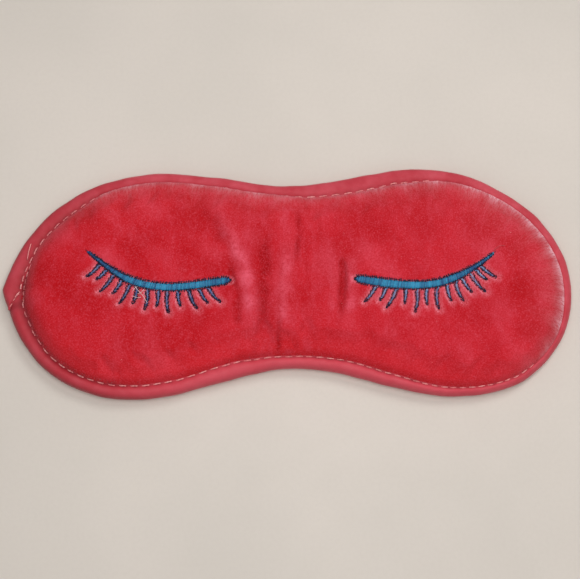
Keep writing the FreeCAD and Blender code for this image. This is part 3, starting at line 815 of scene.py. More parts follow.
ROUGH_RINGS = [2.2, 4.2, 6.0, 8.0]
VELVET_RINGS = [2.2, 2.9, 3.3, 3.6, 3.9, 4.15, 4.4, 4.7, 5.05, 5.45, 5.9, 6.4, 7.0, 7.7]
EYE_MARGIN = 2.2
PRESSED_DEPTH = 0.42            # how deep the embroidery's threads pull the velvet down
FOAM_CLEARANCE = 0.3
LIT_SIDE = (0.60, 0.35)         # the pale pile shows on the side of the thread away from this


FAR = 1e9


def near_line(xy, line):
    """Distance of each point to a polyline, and how far along it the nearest place is."""
    line = np.asarray(line, float)
    best = np.full(len(xy), FAR)
    share = np.zeros(len(xy))
    for k in range(len(line) - 1):
        run = line[k + 1] - line[k]
        t = np.clip(((xy - line[k]) @ run) / (run @ run), 0, 1)
        away = np.linalg.norm(xy - line[k] - t[:, None] * run, axis=1)
        closer = away < best
        best = np.where(closer, away, best)
        share = np.where(closer, (k + t) / (len(line) - 1), share)
    return best, share


def smooth_line(points, count=40):
    """A smooth curve through a few points."""
    points = np.asarray(points, float)
    padded = np.vstack([2 * points[0] - points[1], points, 2 * points[-1] - points[-2]])
    made = []
    for t in np.linspace(0, len(points) - 1, count):
        k = min(int(t), len(points) - 2)
        u = t - k
        a, b, c, d = padded[k:k + 4]
        made.append(0.5 * (2 * b + (c - a) * u + (2 * a - 5 * b + 4 * c - d) * u * u
                           + (3 * b - a - 3 * c + d) * u ** 3))
    return np.array(made)


def embroidery_distance(xy, lid=True):
    """Distance to the nearest stroke of embroidery, less its half width."""
    best = np.full(len(xy), FAR)
    for (line, half), lashes in EYES.values():
        strips = ([(line[::3], half[::3])] if lid else []) + lashes
        for place, wide in strips:
            low, high = place.min(0) - 6, place.max(0) + 6
            close = np.all((xy > low) & (xy < high), axis=1)
            if not close.any():
                continue
            away, share = near_line(xy[close], place)
            away = away - np.interp(share * (len(wide) - 1), np.arange(len(wide)), wide)
            best[close] = np.minimum(best[close], away)
    return best


# The cover is simulated larger than it is: the solver is made for the size of clothes.
CLOTH_SCALE = 20.0
CLOTH_FRAMES = 24
CLOTH_REACH = 1.6               # the furthest that a point may move
CLOTH = {
    "quality": 6, "mass": 0.3, "tension_stiffness": 18, "compression_stiffness": 18,
    "shear_stiffness": 6, "bending_stiffness": 1.5, "use_pressure": True,
    "uniform_pressure_force": 1.2, "vertex_group_mass": "held", "shrink_min": -0.035,
}


def inflate(flat, faces, height):
    """Cloth simulation: the cover is held at its seam and swells over the pad.

    Returns how far each point moved, in millimetres.
    """
    mesh = bpy.data.meshes.new("velvet_blank")
    points = np.column_stack([flat, height]) * MM * CLOTH_SCALE
    mesh.from_pydata(points.tolist(), [], faces)
    blank = bpy.data.objects.new("velvet_blank", mesh)
    bpy.context.scene.collection.objects.link(blank)
    inset, s = inset_of(flat)
    held = blank.vertex_groups.new(name="held")
    near_seam = inset - seam_shift(s) < SHOULDER_START + 0.2
    held.add([int(k) for k in np.flatnonzero(near_seam)], 1.0, "REPLACE")
    cloth = blank.modifiers.new("cloth", "CLOTH")
    for key, value in CLOTH.items():
        setattr(cloth.settings, key, value)
    cloth.settings.effector_weights.gravity = 0.0
    cloth.collision_settings.use_collision = False
    cloth.collision_settings.use_self_collision = False
    cloth.point_cache.frame_start = 1
    cloth.point_cache.frame_end = CLOTH_FRAMES
    for step in range(1, CLOTH_FRAMES + 1):
        bpy.context.scene.frame_set(step)
    made = blank.evaluated_get(bpy.context.evaluated_depsgraph_get()).to_mesh()
    moved = np.zeros(len(made.vertices) * 3)
    made.vertices.foreach_get("co", moved)
    moved = (moved.reshape(-1, 3) - points) / MM / CLOTH_SCALE
    bpy.context.scene.frame_set(1)
    bpy.data.objects.remove(blank)
    bpy.data.meshes.remove(mesh)
    length = np.linalg.norm(moved, axis=1)[:, None]
    return moved * np.minimum(1.0, CLOTH_REACH / np.maximum(length, 1e-9))


def carried(moved, flat, faces, xy):
    """The simulated movement at other points, by where they lie in the coarse triangles."""
    tree = BVHTree.FromPolygons([(x, y, 0.0) for x, y in flat], faces)
    made = np.zeros((len(xy), 3))
    for k, (x, y) in enumerate(xy):
        place, _, index, _ = tree.find_nearest((x, y, 0.0))
        a, b, c = (flat[v] for v in faces[index])
        area = (b[0] - a[0]) * (c[1] - a[1]) - (c[0] - a[0]) * (b[1] - a[1])
        wb = ((place.x - a[0]) * (c[1] - a[1]) - (c[0] - a[0]) * (place.y - a[1])) / area
        wc = ((b[0] - a[0]) * (place.y - a[1]) - (place.x - a[0]) * (b[1] - a[1])) / area
        i, j, l = faces[index]
        made[k] = moved[i] * (1 - wb - wc) + moved[j] * wb + moved[l] * wc
    return made


STITCH_PITCH = 4.35
SHORT_PITCH = 3.5               # of the closer stitches, which lie between these places
SHORT_FROM, SHORT_TO = 103.0, 300.0


def eye_zones():
    """Boxes round both eyes, where the velvet's grid is finer."""
    zones = []
    for side in ("left", "right"):
        lashes, lid = box_mm("lashes_" + side), box_mm("lid_outline_" + side)
        low = np.minimum(lashes[0], lid[0]) - EYE_MARGIN
        high = np.maximum(lashes[1], lid[1]) + EYE_MARGIN
        zones.append((low[0], low[1], high[0], high[1]))
    return zones


def creased(xy, z, face):
    """The velvet's height with its creases, and the painted shade in their grooves and painted
    highlight on their ridges.
    """
    groove, ridge = np.zeros((2, len(xy)))
    uneven = np.clip(0.85 + 0.55 * clouds(xy, 7.0, 9), 0.45, 1.2)
    for points, height, width, colour in CREASES:
        away, share = near_line(xy, smooth_line(points))
        fade = smoothstep(0.0, 0.25, share) * falling(0.75, 1.0, share)
        z = z + height * bump_at(away, 0.0, width) * fade * face
        # The same creases carry painted shade in the grooves and painted highlight on the ridges.
        shown = bump_at(away, 0.0, width * 1.1) * fade * colour * uneven
        marked = groove if height < 0 else ridge
        np.maximum(marked, shown, out=marked)
    return z, {"groove": np.clip(groove, 0, 1), "ridge": np.clip(ridge, 0, 1)}


def pile_marks(xy, s, inner, past, away):
    """Painted light, painted sheen and painted shade on the pile, from 0 to 1 at each point.

    inner, past and away are distances inside the seam, past the rim and from the thread.
    """
    u = from_lap(s)
    # Painted light and shade: the listed patches, plus broad random patches.
    painted_light_and_shade = sum(amount * spots(xy, (x, y), radius) for x, y, radius, amount in PAINTED_LIGHT_PATCHES)
    painted_light_and_shade += 0.25 * clouds(xy, 16.0, 11)
    # low: painted light on the lower shoulder along the bottom edge.
    low = smoothstep(10.0, 40.0, u) * falling(200.0, 235.0, u) * falling(6.0, 17.0, inner)
    # Painted highlight beside the threads, on the side away from LIT_SIDE, over the pile crushed
    # round them.
    beside = embroidery_distance(xy + LIT_SIDE, False)
    among = embroidery_distance(xy, False)
    pressed_highlight = np.maximum(0.85 * falling(0.10, 0.85, beside), 0.48 * falling(0.1, 0.8, away))
    pressed_highlight = np.maximum(pressed_highlight, 0.36 * falling(0.6, 2.6, among))
    past_rim = np.maximum(past, 0)
    fade_in = np.exp(-past_rim / 1.5) + 0.22 * np.exp(-past_rim / 5.0)
    thick = 0.85 + 0.30 * wobble(s, 7.0, 6, EDGE_LENGTH)
    # Painted sheen along the rim, fading inwards from it.
    painted_rim_sheen = table_along(u, PAINTED_RIM_SHEEN) * fade_in * smoothstep(-0.6, 0.1, past) * thick
    return {"pressed": pressed_highlight, "painted_rim_sheen": np.clip(painted_rim_sheen, 0, 1),
            "shade": table_along(u, SHADE) * falling(0.3, 3.2, past),
            "bridge": bump_at(xy[:, 0], -1.0, 19.0), "low": low,
            "painted_pile_light": np.clip(painted_light_and_shade, 0, 1), "painted_pile_shade": np.clip(-painted_light_and_shade, 0, 1)}


def velvet_front():
    """The velvet cover: swollen over the pad, creased at the bridge, pressed by thread."""
    xy, faces = flat_sheet(VELVET_RINGS, 0.85, eye_zones())
    inset, s = inset_of(xy)
    inner = inset - seam_shift(s)
    reach = 0.25 + 0.85 * table_along(from_lap(s), OVERHANG)
    z = layer_height(4, inset, s, reach)
    swell = np.zeros((len(xy), 3))
    rough_xy, rough_faces = flat_sheet(ROUGH_RINGS, 2.4)
    moved = inflate(rough_xy, rough_faces, layer_height(4, *inset_of(rough_xy)))
    swell = carried(moved, rough_xy, rough_faces, xy)
    settled = smoothstep(4.8, 8.5, inner)[:, None]
    swell = np.clip(swell, -0.45, 0.9) * (0.3, 0.3, 1.0) * settled
    face = smoothstep(4.4, 12.0, inner)
    z = z + 0.30 * clouds(xy, 34.0, 3) * face + 0.10 * clouds(xy, 11.0, 4) * face
    z, attributes = creased(xy, z, face)
    pulled = 0.5 + 0.5 * np.cos(math.tau * s / STITCH_PITCH)
    z = z - 0.25 * pulled * bump_at(inner + reach, 4.9, 0.9)
    z = z + 0.22 * wobble(s, 9.0, 5, EDGE_LENGTH) * bump_at(inner, 6.5, 2.5)
    away = embroidery_distance(xy)
    z = z - PRESSED_DEPTH * falling(-0.4, 1.3, away)
    attributes.update(pile_marks(xy, s, inner, inner + reach - SHOULDER_START, away))
    top = np.column_stack([xy, z]) + swell
    clear = layer_height(3, inset, s) + FOAM_CLEARANCE
    top[:, 2] = np.where(inner > 4.6, np.maximum(top[:, 2], clear), top[:, 2])
    under_xy, under_faces = flat_sheet(ROUGH_RINGS, 3.0)
    under = np.column_stack([under_xy, layer_height(3, *inset_of(under_xy)) + LAYER_GAP])
    points, all_faces = closed_between(top, faces, under, under_faces)
    spare = np.zeros(len(under))
    attributes = {key: np.append(value, spare) for key, value in attributes.items()}
    piece = make_piece("velvet_front", points, all_faces, VELVET, attributes)
    turn = math.tau * s / EDGE_LENGTH
    radius = EDGE_LENGTH / 2 / math.pi
    rim = np.column_stack([radius * np.cos(turn), radius * np.sin(turn), inset / 4.0])
    layer = piece.data.attributes.new("rim", "FLOAT_VECTOR", "POINT")
    layer.data.foreach_set("vector", np.vstack([rim, np.zeros((len(under), 3))]).ravel())
    return piece, BVHTree.FromPolygons([Vector(p) for p in top], faces)


RAY_FROM = 50.0                 # a height well over the velvet


def cloth_z(tree, x, y):
    """Height of the velvet at a place."""
    hit = tree.ray_cast(Vector((x, y, RAY_FROM)), Vector((0, 0, -1)))[0]
    return FACE_Z_OF[4] if hit is None else hit.z


def layer_piece(name, level, material):
    """A plain layer of the pad, between two levels."""
    xy, faces = flat_sheet([2.2, 4.2, 5.2, 6.6, 8.4], 2.2)
    inset, s = inset_of(xy)
    ripple = 0.05 * clouds(xy, 13.0, 20 + level) * smoothstep(7, 14, inset)
    under = np.column_stack([xy, layer_height(level, inset, s) + LAYER_GAP + ripple])
    top = np.column_stack([xy, layer_height(level + 1, inset, s) - LAYER_GAP + ripple])
    return make_piece(name, *closed_between(top, faces, under, faces), material)


# ---- edge binding

# Section of the folded tape, round from the inside of its lower lip to the inside of its
# upper lip: (inset, z). The outer run is the visible one.
TAPE_SECTION = [
    (4.40, 0.62), (4.30, 0.30), (4.00, 0.14), (3.72, 0.16), (3.40, 0.06), (2.90, 0.00),
    (2.20, 0.00), (1.55, 0.06), (0.95, 0.36), (0.45, 0.92), (0.12, 1.60), (0.00, 2.40),
    (0.10, 3.15), (0.42, 3.85), (0.95, 4.42), (1.60, 4.76), (2.30, 4.92), (2.90, 4.95),
    (3.30, 4.88), (3.62, 4.70), (3.85, 4.66), (4.08, 4.78), (4.32, 4.76), (4.46, 4.52),
    (4.42, 4.20), (3.60, 4.10), (2.40, 4.06), (1.50, 3.95), (1.10, 3.30), (1.05, 2.40),
    (1.10, 1.60), (1.50, 1.06), (2.60, 1.00), (3.80, 1.00),
]
TAPE_INSIDE = TAPE_SECTION[23:]         # the part of it that the layers hide
TAPE_STEP = 0.36
LAP_BACK = 12.0                 # how far before the corner the hidden start of the tape is
LAP_FORE = 8.0                  # how far past the corner the upper end reaches
LIP_PLACE = 3.72                # inset of the stitch groove in the section
FLAT_FROM = 1.2                 # the section is only widened inside this inset


def upper_seam(u):
    """Inset of the stitch line on the tape, given the distance past its end's corner."""
    whole = table_along(u, SEAM)
    end = table_along(u, UPPER_END, 0.8)
    return np.where(u > -20, np.minimum(whole, end), whole)


def roundness(u):
    """1 where the tape stands up as a soft tube, less where it lies flat."""
    tube = smoothstep(6, 14, u) * falling(165, 200, u)
    return 0.25 + 0.75 * tube


def tape_point(s, inset, z):
    """A place on the tape, with its slight waviness along the edge."""
    point, inward = edge_at(s)
    wave = 0.16 * wobble(s, 26.0, 11, EDGE_LENGTH) + 0.07 * wobble(s, 9.0, 12, EDGE_LENGTH)
    place = point + inward * (inset + wave)[:, None]
    lift = 0.10 * wobble(s, 17.0, 13, EDGE_LENGTH) * smoothstep(2.5, 4.5, z)
    return np.column_stack([place, z + lift])


def edge_tape():
    """The binding: one open sweep round the mask whose end laps over its start."""
    start = S_LAP - LAP_BACK
    end = S_LAP + EDGE_LENGTH + LAP_FORE
    columns = int((end - start) / TAPE_STEP)
    s = np.linspace(start, end, columns)
    before = s - S_LAP                      # from the corner, at the tape's start
    after = before - EDGE_LENGTH            # from the corner, at the tape's end
    u = np.where(before < EDGE_LENGTH / 2, before, after)
    hidden = falling(5.0, 9.0, before)
    over = smoothstep(-16.0, -8.0, after)
    lip = np.where(before < EDGE_LENGTH / 2, table_along(before, SEAM), upper_seam(after))
    drawn_in = table_along(u, NOTCH, 0.6)
    tube = roundness(u)
    pulled = 0.5 + 0.5 * np.cos(math.tau * s / STITCH_PITCH)
    # Painted shade over the tape round the lap, less in the middle of the tube, where a painted
    # highlight is left.
    painted_lap_end_shade = smoothstep(-75.0, -25.0, u) * falling(45.0, 95.0, u)
    # low: painted light along the tape's bottom run.
    low = smoothstep(40.0, 80.0, u) * falling(190.0, 230.0, u)
    rows, creases, painted_lap_end_shades = [], [], []
    for inset, z in TAPE_SECTION:
        upper = z > 2.5
        shown = upper and (inset, z) not in TAPE_INSIDE
        place = np.full(columns, inset)
        height = np.full(columns, z)
        if upper and inset > FLAT_FROM:
            widened = FLAT_FROM + (inset - FLAT_FROM) * (lip - FLAT_FROM) / (LIP_PLACE - FLAT_FROM)
            place = widened if inset <= LIP_PLACE else lip + inset - LIP_PLACE
        top = float(smoothstep(2.6, 4.4, z))
        across = np.clip(place / np.maximum(lip, 0.5), 0, 1)
        if shown:
            height = height + 0.75 * tube * np.sin(math.pi * across) ** 1.3 * top
            height -= 0.15 * pulled * bump_at(inset, 3.7, 0.7)
            height += 0.08 * (1 - pulled) * bump_at(inset, 2.6, 0.9)
        height -= hidden * (0.55 * top - 0.40 * falling(0.2, 1.2, z))
        height += over * 0.25 * top
        place = place + hidden * 0.45 * bump_at(inset, 0.0, 0.9)
        place += drawn_in * falling(1.0, 3.0, inset)
        if upper:
            place = np.where(after > 0, np.minimum(place, lip + 0.5), place)
        rows.append(tape_point(s, place, height))
        # Painted shade in the stitch groove, beside the lap's end and along the tube's outer edge
        # (brim).
        seam = bump_at(inset, 3.72, 0.38) * top * (0.8 + 0.6 * painted_lap_end_shade)
        beside_lap = bump_at(before, 7.0, 2.2) * 0.8 * top
        brim = (0.28 * tube + 0.62 * painted_lap_end_shade) * falling(0.2, 1.2, inset) * shown
        creases.append(np.clip(seam * (0.35 + 0.45 * pulled) + beside_lap + brim, 0, 1))
        painted_lap_end_shades.append(painted_lap_end_shade * (1 - 0.55 * bump_at(inset, 2.0, 0.9)))
    rings = len(rows)
    points = np.stack(rows, 1).reshape(-1, 3)
    tube = swept(columns, rings)
    # The section's points run the other way round from a thread's, so faces are turned over.
    faces = [(b, a, d, c) for a, b, c, d in tube[:-2]] + [cap[::-1] for cap in tube[-2:]]
    return make_piece("edge_tape", points, faces, TAPE,
                      {"crease": np.stack(creases, 1).ravel(), "painted_lap_end_shade": np.stack(painted_lap_end_shades, 1).ravel(),
                       "low": np.repeat(low, rings)})


PLY_RADIUS = 0.14
PLY_OFFSET = 0.10
# The end of the seam's thread, left loose at the lap.
SEAM_TAIL = [(-92.6, 13.6, 6.6), (-92.9, 12.0, 7.0), (-93.4, 10.2, 6.6), (-94.0, 7.9, 5.4)]


def seam_at(u):
    return float(table_along([u], SEAM)[0])


def upper_seam_at(u):
    return float(upper_seam(np.array([u]))[0])


def ply_stitch(threads, start_s, length, inset, z, rise, sink, tone, lean=0.0):
    """One stitch of two twisted plies along the edge."""
    steps = 13
    t = np.linspace(0, 1, steps)
    s = start_s + length * t
    place = tape_point(s, np.full(steps, 1.0) * inset + lean * (t - 0.5), np.full(steps, z))
    place[:, 2] += rise * np.sin(math.pi * t) ** 0.5 - sink * (1 - np.sin(math.pi * t) ** 0.4)
    _, inward = edge_at(s)
    side = np.column_stack([inward, np.zeros(steps)])
    for ply in (0.0, math.pi):
        turn = ply + t * length * 2.4
        path = place + side * (PLY_OFFSET * np.cos(turn))[:, None]
        path[:, 2] += PLY_OFFSET * np.sin(turn)
        threads.add(path, PLY_RADIUS, tone)


def tape_stitches():
    """Stitches through both lips of the binding, seen on its face and on its back."""
    random = np.random.default_rng(31)
    face, back = Threads(), Threads()
    top_z = box_mm("edge_binding_left")[1][2] - 0.16
    s = S_LAP + 6.3
    pitch = 0.0
    while s + pitch < S_LAP + 4.0 + EDGE_LENGTH:
        s += pitch
        before = s - S_LAP
        pitch = SHORT_PITCH if SHORT_FROM <= before <= SHORT_TO else STITCH_PITCH
        after = before - EDGE_LENGTH
        last = before > EDGE_LENGTH / 2
        u = after if last else before
        inset = (upper_seam_at(u) if last else seam_at(u)) + random.normal(0, 0.05)
        ahead = upper_seam_at(u + pitch * 0.7) if last else seam_at(u + 3)
        hang = float(table_along([u], OVERHANG)[0])
        length = pitch * random.uniform(0.62, 0.76)
        tone = random.uniform(0.25, 1.0) * (0.55 if -60 < u < -10 else 1.0)
        lean = ahead - inset + random.normal(0.12, 0.08)
        z = top_z - 0.25 * hang + 0.25 * float(smoothstep(-16, -8, after))
        ply_stitch(face, s, length, inset + lean / 2, z, 0.12, 0.42, tone, lean)
        ply_stitch(back, s + pitch / 2, length, PLAIN_SEAM, 0.24, -0.06, -0.30, tone)
    return (face.piece("binding_stitches", TAPE_THREAD),
            back.piece("binding_stitches_back", TAPE_THREAD))


def lap_stitches():
    """The first stitches of the seam, which peep out beside the tape's upper end."""
    random = np.random.default_rng(32)
    threads = Threads()
    top_z = box_mm("edge_binding_left")[1][2] - 0.45
    for k in range(6):
        u = -14.0 + k * 3.6
        inset = seam_at(u) + 0.25
        lean = seam_at(u + 2.6) + 0.25 - inset
        ply_stitch(threads, S_LAP + u, 2.7, inset + lean / 2, top_z, 0.14, 0.40,
                   random.uniform(0.3, 1), lean)
    for u in (1.4, 3.6, 5.6):
        inset = upper_seam_at(u)
        lean = upper_seam_at(u + 1.6) - inset
        ply_stitch(threads, S_LAP + u, 1.5, inset + lean / 2 + 0.2, top_z + 0.25, 0.14, 0.30,
                   random.uniform(0.6, 1), lean)
    threads.add(smooth_line(SEAM_TAIL, 14), PLY_RADIUS, 1.0)
    return threads.piece("binding_stitches_lap", TAPE_THREAD)


# ---- embroidery

LID_PITCH = 0.36
LID_RISE = 0.42
NOSE_TAPER = 2.3                # length over which a lid rounds off at its inner end


def lid_profile(side, line, half):
    """Half width of the lid, rounded off to a point at the nose."""
    along = run_lengths(line)
    t = np.clip(along / NOSE_TAPER, 0, 1)
    half = half * (1 + (0.20 if side == "right" else 0.04) * bump_at(along, 11.0, 6.0))
    return half * np.sqrt(1 - (1 - t) ** 2) * (0.86 + 0.14 * t)


def lid_satin(side, tree):
    """The lid's light band: satin stitches laid side by side across it."""
    random = random_for(41, side)
    (line, half), _ = EYES[side]
    count = int(run_lengths(line)[-1] / LID_PITCH)
    place, along, across, wide = resampled(line, lid_profile(side, line, half), count)
    threads = Threads()
    drift = 0.0
    for k in range(count):
        share = k / (count - 1)
        reach = wide[k] * random.uniform(0.92, 1.06)
        if reach < 0.12:
            continue
        lean = along[k] * 0.18
        start = place[k] + across[k] * reach + lean + along[k] * random.normal(0, 0.05)
        end = place[k] - across[k] * reach - lean + along[k] * random.normal(0, 0.05)
        z = cloth_z(tree, *place[k]) + 0.10
        light = smoothstep(0.02, 0.22, share) * falling(0.50, 0.80, share)
        drift = 0.5 * drift + random.normal(0, 0.13)
        outer = smoothstep(0.62, 0.85, share) * (0.25 if side == "left" else 0.0)
        tone = 0.24 + 0.42 * light - outer + drift + random.uniform(-0.32, 0.26)
        rise = LID_RISE * (0.72 + 0.28 * light) + random.uniform(-0.05, 0.05)
        threads.add(arched((*start, z), (*end, z), rise, 0.25, 9), 0.235, np.clip(tone, 0, 1))
    return threads.piece("lid_satin_" + side, LID_THREAD)


def border_run(threads, line, tree, random, inward, pitch, run, radius, slant, lift=0.30):
    """Navy edge: short stitches along a line, slanted towards the inside by slant."""
    length = run_lengths(line)
    count = max(2, int(length[-1] / pitch))
    for k in range(count):
        at = (k + random.uniform(0.25, 0.75)) * length[-1] / count
        here = np.array([np.interp(at, length, part) for part in line.T])
        ahead = np.array([np.interp(at + 0.2, length, part) for part in line.T]) - here
        if np.linalg.norm(ahead) < 1e-6:
            continue
        ahead /= np.linalg.norm(ahead)
        side = np.array((-ahead[1], ahead[0])) * inward
        direction = ahead * (1 - slant) + side * slant
        direction /= np.linalg.norm(direction)
        reach = run * random.uniform(0.6, 1.25) / 2
        middle = here + side * random.uniform(-0.18, 0.16)
        z = cloth_z(tree, *here) + lift
        start = (*(middle - direction * reach), z - 0.10)
        end = (*(middle + direction * reach), z + 0.10)
        threads.add(arched(start, end, 0.14, 0.22, 6), radius, random.uniform(0.0, 0.55) ** 1.5)


def lid_border(side, tree):
    """The navy border round the lid, saw-toothed along both edges."""
    random = random_for(51, side)
    (line, half), _ = EYES[side]
    place, along, across, wide = resampled(line, lid_profile(side, line, half), STATIONS)
    threads = Threads(5)
    tapering = smoothstep(0.72, 1.0, np.linspace(0, 1, STATIONS))
    outer = (wide + 0.10 - 0.22 * tapering)[:, None]
    upper = 1.0 if side == "right" else -1.0
    for sign in (1.0, -1.0):
        edge = place + across * outer * sign
        above = sign == upper
        border_run(threads, edge, tree, random, -sign, 0.78, 1.25 if above else 0.95,
                   0.18, 0.80)
        border_run(threads, edge, tree, random, -sign, 0.95, 0.85, 0.11, 0.12)
    nose = place[0] + along[0] * np.linspace(-0.55, 1.1, 4)[:, None]
    for shift in (-0.30, -0.12, 0.06, 0.24):
        z = cloth_z(tree, *place[0]) + 0.30
        threads.add(np.column_stack([nose + across[0] * shift, np.full(4, z)]), 0.14, 0.1)
    outer_part = int(len(place) * 0.70)
    for sign in ((1.0, -1.0) if side == "left" else ()):
        edge = (place + across * (wide * 0.80)[:, None] * sign)[outer_part:]
        border_run(threads, edge, tree, random, -sign, 0.7, 0.9, 0.12, 0.30, 0.36)
    tip = place[-1] + along[-1] * np.linspace(-1.0, 1.5, 5)[:, None]
    z = cloth_z(tree, *place[-1]) + 0.35
    threads.add(np.column_stack([tip, np.full(5, z) - np.linspace(0, 0.3, 5)]), 0.13, 0.2)
    return threads.piece("lid_border_" + side, NAVY_THREAD)


def lash_cores(side, tree):
    """The lighter middle of each lash: slanted satin stitches, narrowing to its tip."""
    random = random_for(61, side)
    threads = Threads(5)
    for lash, half in EYES[side][1]:
        place, along, across, wide = resampled(lash, half, 17)
        last = int(len(place) * 0.80)
        for k in range(last):
            reach = wide[k] * 0.66
            lean = along[k] * 0.34
            start = place[k] + across[k] * reach - lean
            end = place[k] - across[k] * reach + lean
            z = cloth_z(tree, *place[k]) + 0.16
            tone = random.uniform(0.1, 1.0) * (1 - 0.4 * k / last) * (
                0.45 if side == "left" else 1.0)
            threads.add(arched((*start, z), (*end, z), 0.22, 0.2, 6), 0.18, tone)
    return threads.piece("lash_cores_" + side, CORE_THREAD)


def lash_edges(side, tree):
    """The navy sides of each lash, meeting in one dark line at its tip."""
    random = random_for(71, side)
    threads = Threads(5)
    for lash, half in EYES[side][1]:
        place, _, across, wide = resampled(lash, half, 24)
        for sign in (1.0, -1.0):
            edge = place + across * (wide * 0.98)[:, None] * sign
            border_run(threads, edge, tree, random, -sign, 0.62, 0.92,
                       0.19 if side == "left" else 0.155, 0.42)
        tail = place[15:]
        bend = across[15:] * (0.25 * np.linspace(0, 1, len(tail)) ** 2)[:, None]
        heights = [cloth_z(tree, *p) + 0.26 for p in tail]
        radii = np.linspace(0.19, 0.11, len(tail))
        threads.add(np.column_stack([tail + bend, heights]), radii, 0.1)
    return threads.piece("lash_edges_" + side, NAVY_THREAD)


# Thread ends left loose on the embroidery: points (x, y, height over the cloth).
LOOSE_PALE = [
    [(-54.0, -3.0, 0.7), (-52.6, -4.8, 1.1), (-50.8, -6.8, 0.9), (-49.4, -9.2, 0.5)],
    [(-54.6, -6.6, 0.4), (-53.0, -7.2, 0.8), (-51.6, -7.1, 0.6)],
    [(-54.8, -5.0, 0.3), (-53.8, -3.8, 0.8), (-53.0, -3.2, 0.5)],
    [(-53.2, -5.8, 0.4), (-51.6, -5.4, 0.9), (-50.5, -4.0, 0.6)],
]
LOOSE_RED = [[(73.4, 9.6, 0.4), (74.9, 10.9, 0.8), (76.4, 11.6, 0.7), (77.7, 11.5, 0.3)]]


def loose_threads(name, curves, material, radius, tree):
    threads = Threads(5)
    for curve in curves:
        path = smooth_line(curve, 14)
        path[:, 2] += [cloth_z(tree, x, y) for x, y, _ in path]
        threads.add(path, radius, 0.8)
    return threads.piece(name, material)


def lint(tree):
    """Specks and short fibres caught in the pile."""
    random = np.random.default_rng(81)
    threads = Threads(4)
    for _ in range(36):
        x, y = random.uniform(-96, 96), random.uniform(-38, 38)
        inset = inset_of(np.array([[x, y]]))[0][0]
        turn = random.uniform(0, math.tau)
        length = random.uniform(0.2, 0.8)
        if inset < 9.0:
            continue
        t = np.linspace(-0.5, 0.5, 5)
        bend = turn + t * random.uniform(-2.0, 2.0)
        path = np.column_stack([x + np.cos(bend) * t * length, y + np.sin(bend) * t * length,
                                np.full(5, cloth_z(tree, x, y) + 0.03)])
        threads.add(path, 0.035, random.uniform(0, 1))
    return threads.piece("lint_specks", LINT)


def pile_tufts(tree):
    """Short tufts of pile that stand over the seam, most of them at the lower left."""
    random = np.random.default_rng(82)
    threads = Threads(4)
    for _ in range(520):
        low_left = random.uniform() < 0.65
        u = random.uniform(-8.0, 64.0) if low_left else random.uniform(-240, 240)
        s = np.array([S_LAP + u])
        point, inward = edge_at(s)
        inset = SHOULDER_START + seam_shift(s)[0] + random.uniform(0.0, 1.0)
        root = point[0] + inward[0] * inset
        lean = -inward[0] * random.uniform(0.2, 0.9) + random.normal(0, 0.25, 2)
        z = cloth_z(tree, *root)
        path = np.array([(*root, z - 0.1), (*(root + lean * 0.5), z + 0.30),
                         (*(root + lean), z + random.uniform(0.15, 0.5))])
        threads.add(path, [0.06, 0.05, 0.03], random.uniform(0, 1))
    return threads.piece("pile_tufts", RED_FIBRE)


# ---- strap, ring and adjuster

STRAP_RIBS = 15
STRAP_THICK = 0.7
STRAP_LOW_Y, STRAP_HIGH_Y = (box_mm("head_strap_left")[k][1] for k in (0, 1))
TURN_STEPS = 12
SEWN_RUN = 4.5                  # length of the strap's end that is sewn down
RISEN_RUN = 12.5                # how far from its end the strap is up at its full height


def ribbon(name, path, thickness=STRAP_THICK):
    """Elastic webbing along a side view of (x, z) points, ribbed along its length."""
    path = np.asarray(path, float)
    along = unit(np.gradient(path, axis=0))
    normal = np.column_stack([-along[:, 1], along[:, 0]])
    across = np.linspace(0, 1, STRAP_RIBS * 4 + 1)
    rib = 0.5 - 0.5 * np.cos(math.tau * across * STRAP_RIBS)
    edge = np.minimum(1.0, np.minimum(across, 1 - across) * 40)
    half = thickness / 2 * (0.45 + 0.55 * edge) - 0.07 * (1 - rib)
    y = STRAP_LOW_Y + across * (STRAP_HIGH_Y - STRAP_LOW_Y)
    section = np.vstack([np.column_stack([y, half]), np.column_stack([y[::-1], -half[::-1]])])
    tone = np.append(rib, rib[::-1])
    points = [np.column_stack([place[0] + up[0] * section[:, 1], section[:, 0],
                               place[1] + up[1] * section[:, 1]])
              for place, up in zip(path, normal)]
    return make_piece(name, np.vstack(points), swept(len(path), len(section)), ELASTIC,
                      {"tone": np.tile(tone, len(path))})


def run_between(start, end, step=1.2):
    count = max(2, int(math.dist(start, end) / step))
    return [tuple(p) for p in np.linspace(start, end, count, endpoint=False)]


def run_to_end(start, end):
    return run_between(start, end) + [end]


def eased(start, end, count=12):
    """A gentle rise from one height to another."""
    t = np.linspace(0, 1, count, endpoint=False)
    rise = smoothstep(0, 1, t)
    return [(start[0] + (end[0] - start[0]) * a, start[1] + (end[1] - start[1]) * b)
            for a, b in zip(t, rise)]


def turn_round(centre, radius, start_degrees, sweep_degrees):
    made = []
    for k in range(TURN_STEPS + 1):
        angle = math.radians(start_degrees + sweep_degrees * k / TURN_STEPS)
        made.append((centre[0] + radius * math.cos(angle), centre[1] + radius * math.sin(angle)))
    return made


